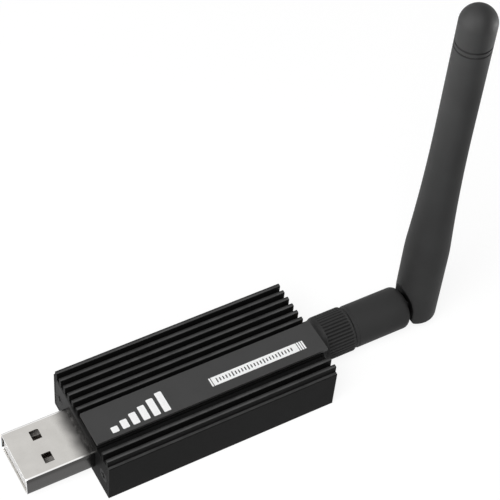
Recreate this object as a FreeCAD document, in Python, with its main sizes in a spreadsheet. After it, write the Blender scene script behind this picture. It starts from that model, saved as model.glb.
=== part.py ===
"""Smart home USB radio stick: a finned metal housing with a USB plug at one end
and, at the other, a screw-on antenna with a swivel and an elbow.

Millimetres. The origin is the centre of the housing's flat underside, +X runs from
the plug to the antenna, +Y to the far side and +Z up, the way the raised mast points.
"""
import FreeCAD
import Part
import Sketcher
import math
import os
import re

Vector = FreeCAD.Vector

SIZES = [
    ("housing_length", 51.5, "housing, end face to end face"),
    ("housing_width", 25.5, "housing, side to side"),
    ("wall", 1.4, "extruded wall of the housing"),
    ("groove_floor", 10.2, "floor of the fin grooves above the underside"),
    ("shoulder_height", 10.5, "plain shoulder outside the fins above the underside"),
    ("bottom_edge_radius", 0.3, "long bottom edges"),
    ("shoulder_radius", 0.3, "long outer edge of each shoulder"),
    ("fin_height", 2.0, "fins above the groove floor"),
    ("fin_thickness", 0.85, "one fin"),
    ("fin_pitch", 1.94, "fin to fin"),
    ("fin_margin", 0.685, "width of the plain shoulder"),
    ("fin_tip_radius", 0.25, "long tip edges of a fin"),
    ("label_gap", 0.9, "least groove between the label plate and a fin"),
    ("label_width", 7.94, "label plate across the fins"),
    ("label_offset", -3.41, "middle of the label plate from the middle plane"),
    ("label_thickness", 0.6, "label plate"),
    ("label_overhang", 0.8, "label plate past the antenna end"),
    ("label_corner", 0.2, "corners of the label plate"),
    ("bed_height", 0.6, "step under the label plate above the groove floor"),
    ("web_width", 2.4, "web that the label plate is stuck to"),
    ("boss_width", 2.95, "solid screw boss inside each side wall"),
    ("channel_height", 1.7, "channel above each screw boss"),
    ("screw_inset", 1.2, "screw axis from the inner face of the side wall"),
    ("screw_height", 4.95, "screw axis above the underside"),
    ("screw_depth", 6.0, "screw bore past the end plate"),
    ("shank_radius", 0.75, "end plate screw"),
    ("head_radius", 1.5, "countersunk head of an end plate screw"),
    ("screw_length", 5.5, "end plate screw, head and shank"),
    ("cross_length", 1.9, "cross recess of a screw head"),
    ("cross_width", 0.4, "arm of the cross recess"),
    ("cross_depth", 0.5, "cross recess"),
    ("thread_play", 0.03, "radial play of a screw in its bore"),
    ("plate_thickness", 1.2, "end plate, flush in its recess"),
    ("plate_rim", 0.85, "housing left around an end plate"),
    ("plate_corner", 0.8, "corners of an end plate"),
    ("plate_play", 0.05, "gap around an end plate"),
    ("plug_reach", 14.7, "plug outside the housing"),
    ("plug_width", 12.0, "plug shell, outside"),
    ("plug_height", 4.5, "plug shell, outside"),
    ("plug_bottom", 3.1, "plug shell above the underside"),
    ("plug_offset", -0.3, "middle of the plug from the middle plane"),
    ("plug_corner", 0.55, "outer bend of the plug shell"),
    ("shell_wall", 0.3, "sheet of the plug shell"),
    ("shell_inside", 4.1, "plug shell inside the housing"),
    ("window_length", 1.95, "window in the shell along the plug"),
    ("window_width", 2.3, "window in the shell across the plug"),
    ("window_spacing", 5.85, "middle to middle of the two windows"),
    ("window_setback", 6.05, "middle of the windows from the tip"),
    ("seam_gap", 0.12, "open seam of the folded shell, underneath"),
    ("ear_length", 1.6, "solder ear of the shell along the board"),
    ("ear_width", 1.4, "solder ear of the shell across the board"),
    ("ear_setback", 1.2, "solder ear from the back end of the shell"),
    ("shell_play", 0.04, "gap between the shell and its insulator"),
    ("tongue_thickness", 2.0, "plastic tongue in the plug"),
    ("tongue_setback", 0.4, "tongue behind the tip of the plug"),
    ("mouth_depth", 12.0, "open mouth of the plug above the tongue"),
    ("contact_width", 1.0, "plug contact"),
    ("contact_thickness", 0.2, "plug contact"),
    ("inner_contact_offset", 1.0, "inner contacts from the plug's middle"),
    ("outer_contact_offset", 3.5, "outer contacts from the plug's middle"),
    ("outer_contact_setback", 1.6, "outer contacts behind the tip of the plug"),
    ("inner_contact_setback", 2.6, "inner contacts behind the tip of the plug"),
    ("contact_tail", 1.4, "contact on the board behind the insulator"),
    ("board_thickness", 1.6, "circuit board"),
    ("board_slot_depth", 0.45, "slot in each screw boss that holds the board"),
    ("board_play", 0.05, "gap around the board in its slots"),
    ("module_length", 15.0, "radio module board"),
    ("module_width", 12.5, "radio module board"),
    ("module_thickness", 0.8, "radio module board"),
    ("module_setback", 5.5, "radio module from the antenna end of the board"),
    ("shield_length", 11.4, "shield can over the radio chip"),
    ("shield_width", 10.6, "shield can over the radio chip"),
    ("shield_height", 2.0, "shield can over the radio chip"),
    ("shield_wall", 0.2, "sheet of the shield can"),
    ("shield_corner", 0.4, "outer bends of the shield can"),
    ("shield_setback", 0.8, "shield can from the module's inner end"),
    ("bridge_side", 5.0, "square bridge chip"),
    ("bridge_height", 0.9, "bridge chip"),
    ("bridge_place", 16.5, "middle of the bridge chip from the plug end"),
    ("bridge_offset", -2.6, "bridge chip from the middle plane"),
    ("regulator_length", 3.0, "voltage regulator"),
    ("regulator_width", 1.7, "voltage regulator"),
    ("regulator_height", 1.1, "voltage regulator"),
    ("regulator_place", 10.0, "middle of the regulator from the plug end"),
    ("regulator_offset", 5.2, "regulator from the middle plane"),
    ("crystal_length", 3.2, "crystal"),
    ("crystal_width", 2.5, "crystal"),
    ("crystal_height", 0.8, "crystal"),
    ("crystal_place", 17.0, "middle of the crystal from the plug end"),
    ("crystal_offset", 3.4, "crystal from the middle plane"),
    ("capacitor_length", 1.0, "chip capacitor"),
    ("capacitor_width", 0.5, "chip capacitor"),
    ("capacitor_height", 0.55, "chip capacitor"),
    ("capacitor_place", 8.2, "first chip capacitor from the plug end"),
    ("capacitor_pitch", 1.7, "capacitor to capacitor"),
    ("capacitor_margin", 1.5, "row of capacitors from the screw boss"),
    ("axis_height", 4.75, "antenna axis above the underside"),
    ("thread_radius", 3.12, "outside thread of the antenna jack"),
    ("jack_reach", 7.2, "jack barrel outside the housing"),
    ("flange_side", 6.4, "square flange of the jack"),
    ("flange_thickness", 1.6, "square flange of the jack"),
    ("leg_length", 4.0, "solder leg of the jack"),
    ("leg_width", 1.0, "solder leg of the jack"),
    ("leg_height", 0.7, "solder leg of the jack"),
    ("insulator_radius", 2.05, "plastic core of the jack"),
    ("socket_radius", 0.64, "centre contact of the jack"),
    ("socket_depth", 3.0, "bore in the centre contact"),
    ("socket_setback", 1.2, "core of the jack behind the end of its barrel"),
    ("pin_radius", 0.25, "solder pin of the jack, flat on the board"),
    ("solder_pin_length", 2.0, "solder pin of the jack"),
    ("antenna_pin_radius", 0.46, "centre pin of the antenna"),
    ("pin_setback", 0.4, "centre pin short of the end of its socket"),
    ("pin_play", 0.03, "gap around the centre pin and the nose"),
    ("hole_play", 0.1, "gap around the jack in its plate and washer"),
    ("washer_radius", 4.4, "lock washer"),
    ("washer_thickness", 0.35, "lock washer"),
    ("nut_width", 8.0, "jack nut across its flats"),
    ("nut_thickness", 1.2, "jack nut"),
    ("running_play", 0.05, "radial play between turning pieces"),
    ("end_play", 0.1, "axial play between turning pieces"),
    ("sleeve_radius", 4.95, "knurled sleeve over the coupling nut"),
    ("sleeve_length", 8.7, "knurled sleeve"),
    ("sleeve_end_wall", 0.7, "back wall of the knurled sleeve"),
    ("collar_radius", 4.58, "smooth collar at the front of the sleeve"),
    ("collar_length", 1.2, "smooth collar at the front of the sleeve"),
    ("flare_length", 0.8, "cone from the collar up to the knurls"),
    ("sleeve_chamfer", 0.4, "back edge of the sleeve"),
    ("rim_length", 0.8, "smooth rim at the back of the sleeve"),
    ("knurl_count", 40, "grooves around the sleeve"),
    ("knurl_depth", 0.26, "one knurl groove"),
    ("knurl_width", 0.4, "one knurl groove at the surface"),
    ("coupling_radius", 3.95, "metal coupling nut, outside"),
    ("coupling_lip", 1.3, "inner lip that holds the coupling nut on the ferrule"),
    ("ferrule_radius", 2.6, "ferrule of the antenna"),
    ("ferrule_bore", 1.6, "bore of the ferrule, full of its insulator"),
    ("ferrule_flange", 1.0, "flange of the ferrule"),
    ("nose_radius", 2.25, "nose of the ferrule in the jack"),
    ("nose_length", 1.0, "nose of the ferrule in the jack"),
    ("ferrule_length", 9.3, "ferrule behind its flange"),
    ("collet_radius", 3.0, "ring that holds the swivel on the ferrule"),
    ("collet_length", 1.0, "ring that holds the swivel on the ferrule"),
    ("swivel_radius", 4.7, "swivel base"),
    ("neck_radius", 4.58, "front neck of the swivel base"),
    ("neck_length", 0.8, "front neck of the swivel base"),
    ("swivel_rim_radius", 1.5, "back rim of the swivel base, rounded in three flats"),
    ("hinge_reach", 27.95, "elbow axis from the housing's antenna end"),
    ("elbow_gap", 3.75, "swivel base ends this far before the elbow axis"),
    ("tongue_width", 3.0, "hinge tongue of the swivel base"),
    ("tongue_end_radius", 2.3, "rounded end of the hinge tongue"),
    ("fork_play", 0.1, "gap each side of the hinge tongue"),
    ("hinge_pin_radius", 0.8, "elbow pin"),
    ("hinge_pin_far", 4.5, "elbow pin, its visible end from the middle plane"),
    ("hinge_pin_near", 3.1, "elbow pin, its hidden end from the middle plane"),
    ("hinge_play", 0.03, "radial play of the elbow pin in the tongue"),
    ("mast_radius", 4.77, "mast at its foot"),
    ("foot_drop", 2.65, "foot of the mast below the elbow axis"),
    ("foot_edge", 0.4, "bottom edge of the mast"),
    ("taper_start", 16.0, "straight foot of the mast ends here above the axis"),
    ("taper_turn", 20.5, "taper is steepest here above the axis"),
    ("taper_end", 54.0, "taper of the mast ends here above the axis"),
    ("waist_radius", 3.7, "mast above its taper, and its cap"),
    ("seam_height", 75.4, "seam of the cap above the axis"),
    ("cap_length", 9.2, "cap above its seam, with its round dome"),
    ("ring_setback", 0.95, "turned ring groove in the cap above the seam"),
    ("ring_width", 0.4, "turned ring groove in the cap"),
    ("ring_depth", 0.2, "turned ring groove in the cap"),
    ("seam_chamfer", 0.2, "edge of the cap at its seam"),
    ("spigot_length", 3.5, "spigot of the cap in the mast"),
    ("spigot_play", 0.03, "gap around the spigot"),
    ("cheek_setback_low", 2.9, "flat of the hinge cheeks below the elbow axis"),
    ("cheek_setback_middle", 3.52, "hollow cut of the hinge cheeks above the elbow axis"),
    ("cheek_middle", 4.0, "height of that setback above the elbow axis"),
    ("cheek_top", 7.2, "the cheeks meet the round mast here"),
    ("cheek_corner", 0.8, "rounded lower corner of the cheeks"),
    ("mast_bore", 2.4, "bore of the mast"),
    ("mast_bore_start", 9.0, "bore of the mast begins here above the axis"),
    ("coax_radius", 0.57, "coaxial lead in the mast"),
    ("coax_play", 0.03, "gap around the coaxial lead"),
    ("coax_start", 2.9, "coaxial lead begins here above the axis"),
    ("dipole_start", 27.0, "lower sleeve of the radiator"),
    ("dipole_middle", 51.0, "feed point of the radiator"),
    ("dipole_end", 71.5, "upper end of the radiator"),
    ("dipole_radius", 2.3, "lower sleeve of the radiator, outside"),
    ("dipole_wall", 0.25, "lower sleeve of the radiator"),
    ("rod_radius", 0.5, "upper rod of the radiator"),
]
CAPACITORS = 6

doc = FreeCAD.newDocument("UsbRadioStick")
sheet = doc.addObject("Spreadsheet::Sheet", "Sizes")
for row, (name, value, meaning) in enumerate(SIZES, start=1):
    sheet.set(f"A{row}", name)
    sheet.set(f"B{row}", str(value))
    sheet.setAlias(f"B{row}", name)
    sheet.set(f"C{row}", meaning)
doc.recompute()
ALIASES = {name for name, value, meaning in SIZES}

# Places that several pieces share, written once.
USB_END = "(-housing_length / 2)"
ANTENNA_END = "(housing_length / 2)"
FIN_TOP = "(groove_floor + fin_height)"
FIRST_FIN = "(housing_width / 2 - fin_margin)"
LABEL_FAR = "(label_offset + label_width / 2)"
LABEL_NEAR = "(label_offset - label_width / 2)"
INNER_SIDE = "(housing_width / 2 - wall)"
CAVITY_SIDE = f"({INNER_SIDE} - boss_width)"
CAVITY_TOP = "(groove_floor - wall)"
SCREW_SIDE = f"({INNER_SIDE} - screw_inset)"
BOARD_TOP = "(axis_height - pin_radius)"
BOARD_BOTTOM = f"({BOARD_TOP} - board_thickness)"
SLOT_SIDE = f"({CAVITY_SIDE} + board_slot_depth)"
BOARD_LENGTH = "(housing_length - 2 * plate_thickness - board_play - flange_thickness)"
BOARD_START = "(plate_thickness + board_play)"
TONGUE_TOP = "(plug_bottom + shell_wall + shell_play + tongue_thickness)"
SLEEVE_START = "(washer_thickness + nut_thickness + end_play)"
SLEEVE_END = f"({SLEEVE_START} + sleeve_length)"
FLANGE_END = "(jack_reach + ferrule_flange)"
FERRULE_END = f"({FLANGE_END} + ferrule_length)"
COUPLING_END = f"({SLEEVE_END} - sleeve_end_wall)"
NECK_START = f"({SLEEVE_END} + end_play)"
SWIVEL_END = "(hinge_reach - elbow_gap)"
HINGE_X = "(housing_length / 2 + hinge_reach)"


def bound(text):
    """The expression, with each size's name led by its sheet."""
    def lead(word):
        return "Sizes." + word.group() if word.group() in ALIASES else word.group()
    return re.sub(r"[a-z_]+", lead, str(text))


def bind(piece, **expressions):
    for path, text in expressions.items():
        piece.setExpression(path.replace("__", "."), bound(text))


def place(piece, along="0", across="0", up="0"):
    bind(piece, Placement__Base__x=along, Placement__Base__y=across, Placement__Base__z=up)
    return piece


def new_body(label):
    body = doc.addObject("PartDesign::Body", label)
    body.Label = label
    return body


def sketch_on(body, plane, lift):
    """An empty sketch on one of the body's own planes, lifted along its normal."""
    sketch = body.newObject("Sketcher::SketchObject", "Sketch")
    origin_plane = next(item for item in body.Origin.OriginFeatures if item.Role == plane)
    sketch.AttachmentSupport = [(origin_plane, "")]
    sketch.MapMode = "FlatFace"
    bind(sketch, AttachmentOffset__Base__z=lift)
    return sketch


def pin_point(sketch, edge, end, right, up):
    """Holds one point of a sketch at its two coordinates."""
    for kind, text in (("DistanceX", right), ("DistanceY", up)):
        index = sketch.addConstraint(Sketcher.Constraint(kind, -1, 1, edge, end, 1.0))
        sketch.setExpression(f"Constraints[{index}]", bound(text))


def outline(body, plane, corners, lift="0"):
    """A closed outline of straight edges through the corners."""
    sketch = sketch_on(body, plane, lift)
    count = len(corners)
    ring = [2 * math.pi * turn / count for turn in range(count)]
    points = [Vector(math.cos(angle), math.sin(angle), 0) for angle in ring]
    for start, end in zip(points, points[1:] + points[:1]):
        sketch.addGeometry(Part.LineSegment(start, end))
    for edge in range(count):
        sketch.addConstraint(Sketcher.Constraint("Coincident", edge, 2, (edge + 1) % count, 1))
    for edge, (right, up) in enumerate(corners):
        pin_point(sketch, edge, 1, right, up)
    doc.recompute()
    return sketch


def box_outline(body, plane, left, right, low, high, lift="0"):
    return outline(body, plane, [(left, low), (right, low), (right, high), (left, high)], lift)


def circles(body, plane, centres, radius, lift="0"):
    """Circles of one radius, held by their centres."""
    sketch = sketch_on(body, plane, lift)
    for edge, (right, up) in enumerate(centres):
        sketch.addGeometry(Part.Circle(Vector(edge + 1, 0, 0), Vector(0, 0, 1), 1.0))
        pin_point(sketch, edge, 3, right, up)
        index = sketch.addConstraint(Sketcher.Constraint("Radius", edge, 1.0))
        sketch.setExpression(f"Constraints[{index}]", bound(radius))
    doc.recompute()
    return sketch


def feature(body, kind, sizes, **settings):
    """Adds a feature to the body, computes it and makes it the body's tip."""
    added = body.newObject(f"PartDesign::{kind}", kind)
    for name, value in settings.items():
        setattr(added, name, value)
    bind(added, **sizes)
    body.Tip = added
    doc.recompute()
    return added


def volume(body):
    return body.Tip.Shape.Volume if body.Tip else 0.0


def adding(body, kind, sizes, **settings):
    """A feature that must add material."""
    before = volume(body)
    added = feature(body, kind, sizes, **settings)
    if volume(body) <= before:
        raise SystemExit(f"{added.Label} of {body.Label} adds nothing")
    return added


def cutting(body, kind, sizes, **settings):
    """A feature that must remove material."""
    before = volume(body)
    added = feature(body, kind, sizes, **settings)
    if volume(body) >= before:
        raise SystemExit(f"{added.Label} of {body.Label} cuts nothing")
    return added


def pad(body, sketch, length, **settings):
    return adding(body, "Pad", {"Length": length}, Profile=sketch, **settings)


def pocket(body, sketch, length, **settings):
    return cutting(body, "Pocket", {"Length": length}, Profile=sketch, **settings)


def cut_through(body, sketch):
    return cutting(body, "Pocket", {}, Profile=sketch, Type="ThroughAll", Midplane=True)


def revolve(body, sketch, axis):
    return adding(body, "Revolution", {}, Profile=sketch, ReferenceAxis=(sketch, [axis]))


def row_of(body, original, sketch, pitch, count, reverse):
    """A row of the original and its copies; a narrow place may have room for the original alone."""
    return feature(body, "LinearPattern", {"Offset": pitch, "Occurrences": count}, Originals=[original],
                   Mode="Spacing", Direction=(sketch, ["H_Axis"]), Reversed=reverse)


def round_edges(body, radius, chooser, kind="Fillet"):
    """A fillet or chamfer on the edges of the body that the chooser picks."""
    last = body.Tip
    edges = [f"Edge{i}" for i, edge in enumerate(last.Shape.Edges, start=1) if chooser(edge)]
    if not edges:
        raise SystemExit(f"no edges to round on {body.Label}")
    return feature(body, kind, {"Radius" if kind == "Fillet" else "Size": radius}, Base=(last, edges))


def number(text):
    """A size, or a sum or difference of sizes, as a plain number."""
    total = 0.0
    for sign, name in re.findall(r"([+-]?)\s*([a-z_]+)", text):
        total += (-1 if sign == "-" else 1) * float(sheet.get(name))
    return total


def near(one, other):
    return abs(one - other) < 1e-4


def runs_along(edge, axis):
    """True for a straight edge that is parallel to the axis."""
    box = edge.BoundBox
    spans = {"x": box.XLength, "y": box.YLength, "z": box.ZLength}
    return type(edge.Curve).__name__ == "Line" and near(spans[axis], edge.Length)


def group(label, pieces):
    """Identical separate solids that share one node."""
    together = doc.addObject("Part::Compound", label)
    together.Label = label
    together.Links = pieces
    return together


def block(label, length, width, height, along, across, up):
    """A plain rectangular chip, placed by its middle, standing on its underside."""
    chip = doc.addObject("Part::Box", label)
    chip.Label = label
    bind(chip, Length=length, Width=width, Height=height)
    return place(chip, f"{along} - {length} / 2", f"{across} - {width} / 2", up)


def make_housing():
    """The extrusion: shoulders, grooved top, fins, label bed, cavity, bores and end recesses."""
    body = new_body("housing")
    half = "housing_width / 2"
    section = outline(body, "YZ_Plane", [
        (f"-{half}", "0"), (half, "0"),
        (half, "shoulder_height"), (FIRST_FIN, "shoulder_height"),
        (FIRST_FIN, "groove_floor"), (f"-{FIRST_FIN}", "groove_floor"),
        (f"-{FIRST_FIN}", "shoulder_height"), (f"-{half}", "shoulder_height")])
    pad(body, section, "housing_length")
    bed_top = "groove_floor + bed_height"
    web_top = f"{FIN_TOP} - label_thickness"
    web_far = "label_offset + web_width / 2"
    web_near = "label_offset - web_width / 2"
    bed = outline(body, "YZ_Plane", [
        (LABEL_NEAR, "groove_floor"), (LABEL_FAR, "groove_floor"), (LABEL_FAR, bed_top),
        (web_far, bed_top), (web_far, web_top), (web_near, web_top),
        (web_near, bed_top), (LABEL_NEAR, bed_top)])
    pad(body, bed, "housing_length")
    far_room = f"({FIRST_FIN} - {LABEL_FAR} - label_gap - fin_thickness)"
    near_room = f"({FIRST_FIN} + {LABEL_NEAR} - label_gap - fin_thickness)"
    for outer, inner, room, to_near in (
            (FIRST_FIN, f"{FIRST_FIN} - fin_thickness", far_room, True),
            (f"-{FIRST_FIN}", f"fin_thickness - {FIRST_FIN}", near_room, False)):
        fin = box_outline(body, "YZ_Plane", outer, inner, "groove_floor", FIN_TOP)
        first = pad(body, fin, "housing_length")
        row_of(body, first, fin, "fin_pitch", f"floor({room} / fin_pitch) + 1", to_near)
    slot_low = f"{BOARD_BOTTOM} - board_play"
    slot_high = f"{BOARD_TOP} + board_play"
    channel_low = f"{CAVITY_TOP} - channel_height"
    side = [(CAVITY_SIDE, "wall"), (CAVITY_SIDE, slot_low), (SLOT_SIDE, slot_low),
            (SLOT_SIDE, slot_high), (CAVITY_SIDE, slot_high), (CAVITY_SIDE, channel_low),
            (INNER_SIDE, channel_low), (INNER_SIDE, CAVITY_TOP)]
    other_side = [(f"-{across}", up) for across, up in reversed(side)]
    cut_through(body, outline(body, "YZ_Plane", side + other_side))
    rim_side = "(housing_width / 2 - plate_rim)"
    for lift, inward in (("0", True), ("housing_length", False)):
        recess = box_outline(body, "YZ_Plane", f"-{rim_side}", rim_side,
                             "plate_rim", "groove_floor - plate_rim", lift)
        pocket(body, recess, "plate_thickness", Reversed=inward)
        bores = circles(body, "YZ_Plane", [(SCREW_SIDE, "screw_height"), (f"-{SCREW_SIDE}", "screw_height")],
                        "shank_radius + thread_play", lift)
        pocket(body, bores, "plate_thickness + screw_depth", Reversed=inward)
    half_width = number("housing_width") / 2
    plate_depth = number("plate_thickness")
    round_edges(body, "plate_corner", lambda edge: runs_along(edge, "x") and near(edge.Length, plate_depth)
                and near(abs(edge.BoundBox.YMin), half_width - number("plate_rim")))
    round_edges(body, "bottom_edge_radius", lambda edge: runs_along(edge, "x")
                and near(edge.BoundBox.ZMin, 0) and near(abs(edge.BoundBox.YMin), half_width))
    round_edges(body, "shoulder_radius", lambda edge: runs_along(edge, "x")
                and near(edge.BoundBox.ZMin, number("shoulder_height")) and near(abs(edge.BoundBox.YMin), half_width))
    round_edges(body, "fin_tip_radius", lambda edge: runs_along(edge, "x")
                and near(edge.BoundBox.ZMin, number("groove_floor + fin_height")))
    return place(body, USB_END)


def make_label_plate():
    """The thin printed plate on its web, with one end past the housing."""
    body = new_body("label_plate")
    face = box_outline(body, "XY_Plane", "0", "housing_length + label_overhang", LABEL_NEAR, LABEL_FAR)
    pad(body, face, "label_thickness")
    round_edges(body, "label_corner", lambda edge: runs_along(edge, "z"))
    return place(body, USB_END, "0", f"{FIN_TOP} - label_thickness")


def end_plate(label):
    """A flush plate with rounded corners and two countersunk screw holes; x = 0 is its outer face."""
    body = new_body(label)
    side = "(housing_width / 2 - plate_rim - plate_play)"
    face = box_outline(body, "YZ_Plane", f"-{side}", side,
                       "plate_rim + plate_play", "groove_floor - plate_rim - plate_play")
    pad(body, face, "plate_thickness")
    round_edges(body, "plate_corner - plate_play", lambda edge: runs_along(edge, "x"))
    holes = circles(body, "YZ_Plane", [(SCREW_SIDE, "screw_height"), (f"-{SCREW_SIDE}", "screw_height")],
                    "shank_radius + thread_play")
    cut_through(body, holes)
    hole_radius = number("shank_radius + thread_play")
    round_edges(body, "head_radius - shank_radius",
                lambda edge: near(edge.BoundBox.XMax, 0) and near(edge.BoundBox.YLength, 2 * hole_radius),
                kind="Chamfer")
    return body


def make_usb_end_plate():
    body = end_plate("usb_end_plate")
    mouth = box_outline(body, "YZ_Plane",
                        "plug_offset - plug_width / 2 - hole_play", "plug_offset + plug_width / 2 + hole_play",
                        "plug_bottom - hole_play", "plug_bottom + plug_height + hole_play")
    cut_through(body, mouth)
    low, high = number("plug_bottom - hole_play"), number("plug_bottom + plug_height + hole_play")
    round_edges(body, "plug_corner", lambda edge: runs_along(edge, "x")
                and (near(edge.BoundBox.ZMin, low) or near(edge.BoundBox.ZMin, high)))
    return place(body, USB_END)


def make_antenna_end_plate():
    """The same plate turned round, with the hole for the jack."""
    body = end_plate("antenna_end_plate")
    cut_through(body, circles(body, "YZ_Plane", [("0", "axis_height")], "thread_radius + hole_play"))
    body.Placement = FreeCAD.Placement(Vector(0, 0, 0), FreeCAD.Rotation(Vector(0, 0, 1), 180))
    return place(body, ANTENNA_END)


def make_screw():
    """A countersunk screw with a cross recess; x = 0 is the face of its head, flush with the plate."""
    body = new_body("end_screw")
    profile = outline(body, "XZ_Plane", [
        ("0", "0"), ("0", "head_radius"), ("head_radius - shank_radius", "shank_radius"),
        ("screw_length", "shank_radius"), ("screw_length", "0")])
    revolve(body, profile, "H_Axis")
    arm, half_width = "cross_length / 2", "cross_width / 2"
    quarter = [(arm, half_width), (half_width, half_width), (half_width, arm)]
    cross = quarter + [(f"-{x}", y) for x, y in reversed(quarter)]
    cross += [(f"-{x}", f"-{y}") for x, y in quarter] + [(x, f"-{y}") for x, y in reversed(quarter)]
    pocket(body, outline(body, "YZ_Plane", cross), "cross_depth", Reversed=True)
    return place(body, USB_END, SCREW_SIDE, "screw_height")


def make_end_screws():
    """Two screws for each end plate: one is drawn and mirrored across and end for end."""
    screw = make_screw()
    mirrored = doc.addObject("Part::Mirroring", "near_screw")
    mirrored.Source = screw
    mirrored.Normal = Vector(0, 1, 0)
    usb_pair = group("usb_end_screws", [screw, mirrored])
    antenna_pair = doc.addObject("Part::Mirroring", "antenna_end_screws")
    antenna_pair.Label = "antenna_end_screws"
    antenna_pair.Source = usb_pair
    antenna_pair.Normal = Vector(1, 0, 0)
    return [usb_pair, antenna_pair]


def make_usb_shell():
    """The folded sheet shell of the plug; x = 0 is its tip, y = 0 its middle."""
    body = new_body("usb_shell")
    length = "plug_reach + shell_inside"
    half, inner = "plug_width / 2", "(plug_width / 2 - shell_wall)"
    pad(body, box_outline(body, "YZ_Plane", f"-{half}", half, "0", "plug_height"), length)
    round_edges(body, "plug_corner", lambda edge: runs_along(edge, "x"))
    bore = box_outline(body, "YZ_Plane", f"-{inner}", inner, "shell_wall", "plug_height - shell_wall")
    cut_through(body, bore)
    inside = number("plug_width") / 2 - number("shell_wall")
    round_edges(body, "plug_corner - shell_wall", lambda edge: runs_along(edge, "x")
                and near(abs(edge.BoundBox.YMin), inside) and near(edge.Length, number("plug_reach + shell_inside"))
                and (near(edge.BoundBox.ZMin, number("shell_wall"))
                     or near(edge.BoundBox.ZMin, number("plug_height - shell_wall"))))
    for middle in ("window_spacing / 2", "-window_spacing / 2"):
        window = box_outline(body, "XY_Plane",
                             "window_setback - window_length / 2", "window_setback + window_length / 2",
                             f"{middle} - window_width / 2", f"{middle} + window_width / 2")
        cut_through(body, window)
    seam = box_outline(body, "XY_Plane", "-shell_wall", f"{length} + shell_wall", "-seam_gap / 2", "seam_gap / 2")
    pocket(body, seam, "shell_wall", Reversed=True)
    ear_back = f"{length} - ear_setback"
    ear_low = f"{BOARD_TOP} - plug_bottom"
    for inner_edge, outer_edge in ((f"{half} - shell_wall / 2", f"{half} + ear_width"),
                                   (f"shell_wall / 2 - {half}", f"-{half} - ear_width")):
        ear = box_outline(body, "XY_Plane", f"{ear_back} - ear_length", ear_back, inner_edge, outer_edge, ear_low)
        pad(body, ear, "shell_wall")
    return place(body, f"{USB_END} - plug_reach", "plug_offset", "plug_bottom")


def make_usb_insulator():
    """Tongue and back block in one moulding, with a channel for each contact; x = 0 is the plug's tip."""
    body = new_body("usb_insulator")
    side = "(plug_width / 2 - shell_wall - shell_play)"
    back = "plug_reach + shell_inside"
    low = "(shell_wall + shell_play)"
    high = "(plug_height - shell_wall - shell_play)"
    tongue_top = f"{low} + tongue_thickness"
    profile = outline(body, "XZ_Plane", [
        ("tongue_setback", low), (back, low), (back, high), ("mouth_depth", high),
        ("mouth_depth", tongue_top), ("tongue_setback", tongue_top)])
    pad(body, profile, f"2 * {side}", Midplane=True)
    round_edges(body, "plug_corner - shell_wall", lambda edge: runs_along(edge, "x")
                and not near(edge.BoundBox.ZMin, number("shell_wall + shell_play + tongue_thickness")))
    for middle in ("outer_contact_offset", "inner_contact_offset", "-inner_contact_offset", "-outer_contact_offset"):
        half = "(contact_width / 2 + shell_play)"
        channel = box_outline(body, "YZ_Plane", f"{middle} - {half}", f"{middle} + {half}",
                              tongue_top, f"{tongue_top} + contact_thickness + shell_play", "mouth_depth")
        pocket(body, channel, f"{back} - mouth_depth", Reversed=True)
    return place(body, f"{USB_END} - plug_reach", "plug_offset", "plug_bottom")


def make_usb_contacts():
    """Four flat strips on the tongue, which step down behind the insulator onto the board."""
    strips = []
    back = "(plug_reach + shell_inside)"
    for index, (side, kind) in enumerate((("", "outer"), ("", "inner"), ("-", "inner"), ("-", "outer")), start=1):
        middle, setback = f"{side}{kind}_contact_offset", f"{kind}_contact_setback"
        body = new_body(f"usb_contact_{index}")
        low, board = f"({TONGUE_TOP})", f"({BOARD_TOP})"
        step = f"{back} + shell_play"
        profile = outline(body, "XZ_Plane", [
            (setback, low), (step, low), (step, board), (f"{step} + contact_tail", board),
            (f"{step} + contact_tail", f"{board} + contact_thickness"),
            (f"{step} + contact_thickness", f"{board} + contact_thickness"),
            (f"{step} + contact_thickness", f"{low} + contact_thickness"),
            (setback, f"{low} + contact_thickness")])
        pad(body, profile, "contact_width", Midplane=True)
        strips.append(place(body, f"{USB_END} - plug_reach", f"plug_offset + {middle}"))
    return group("usb_contacts", strips)


def make_circuit_board():
    """The board in its slots, notched around the plug."""
    body = new_body("circuit_board")
    side = f"({SLOT_SIDE} - board_play)"
    notch_side = "(plug_width / 2 + hole_play)"
    notch_end = "shell_inside + hole_play"
    face = outline(body, "XY_Plane", [
        (BOARD_START, f"-{side}"), (f"{BOARD_START} + {BOARD_LENGTH}", f"-{side}"),
        (f"{BOARD_START} + {BOARD_LENGTH}", side), (BOARD_START, side),
        (BOARD_START, f"plug_offset + {notch_side}"), (notch_end, f"plug_offset + {notch_side}"),
        (notch_end, f"plug_offset - {notch_side}"), (BOARD_START, f"plug_offset - {notch_side}")])
    pad(body, face, "board_thickness")
    return place(body, USB_END, "0", BOARD_BOTTOM)


def make_radio_shield(module_start, module_top):
    """A drawn can, open below."""
    body = new_body("radio_shield")
    pad(body, box_outline(body, "XY_Plane", "0", "shield_length", "-shield_width / 2", "shield_width / 2"),
        "shield_height")
    round_edges(body, "shield_corner", lambda edge: runs_along(edge, "z"))
    hollow = box_outline(body, "XY_Plane", "shield_wall", "shield_length - shield_wall",
                         "shield_wall - shield_width / 2", "shield_width / 2 - shield_wall")
    pocket(body, hollow, "shield_height - shield_wall", Reversed=True)
    return place(body, f"{module_start} + shield_setback", "0", module_top)


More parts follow.
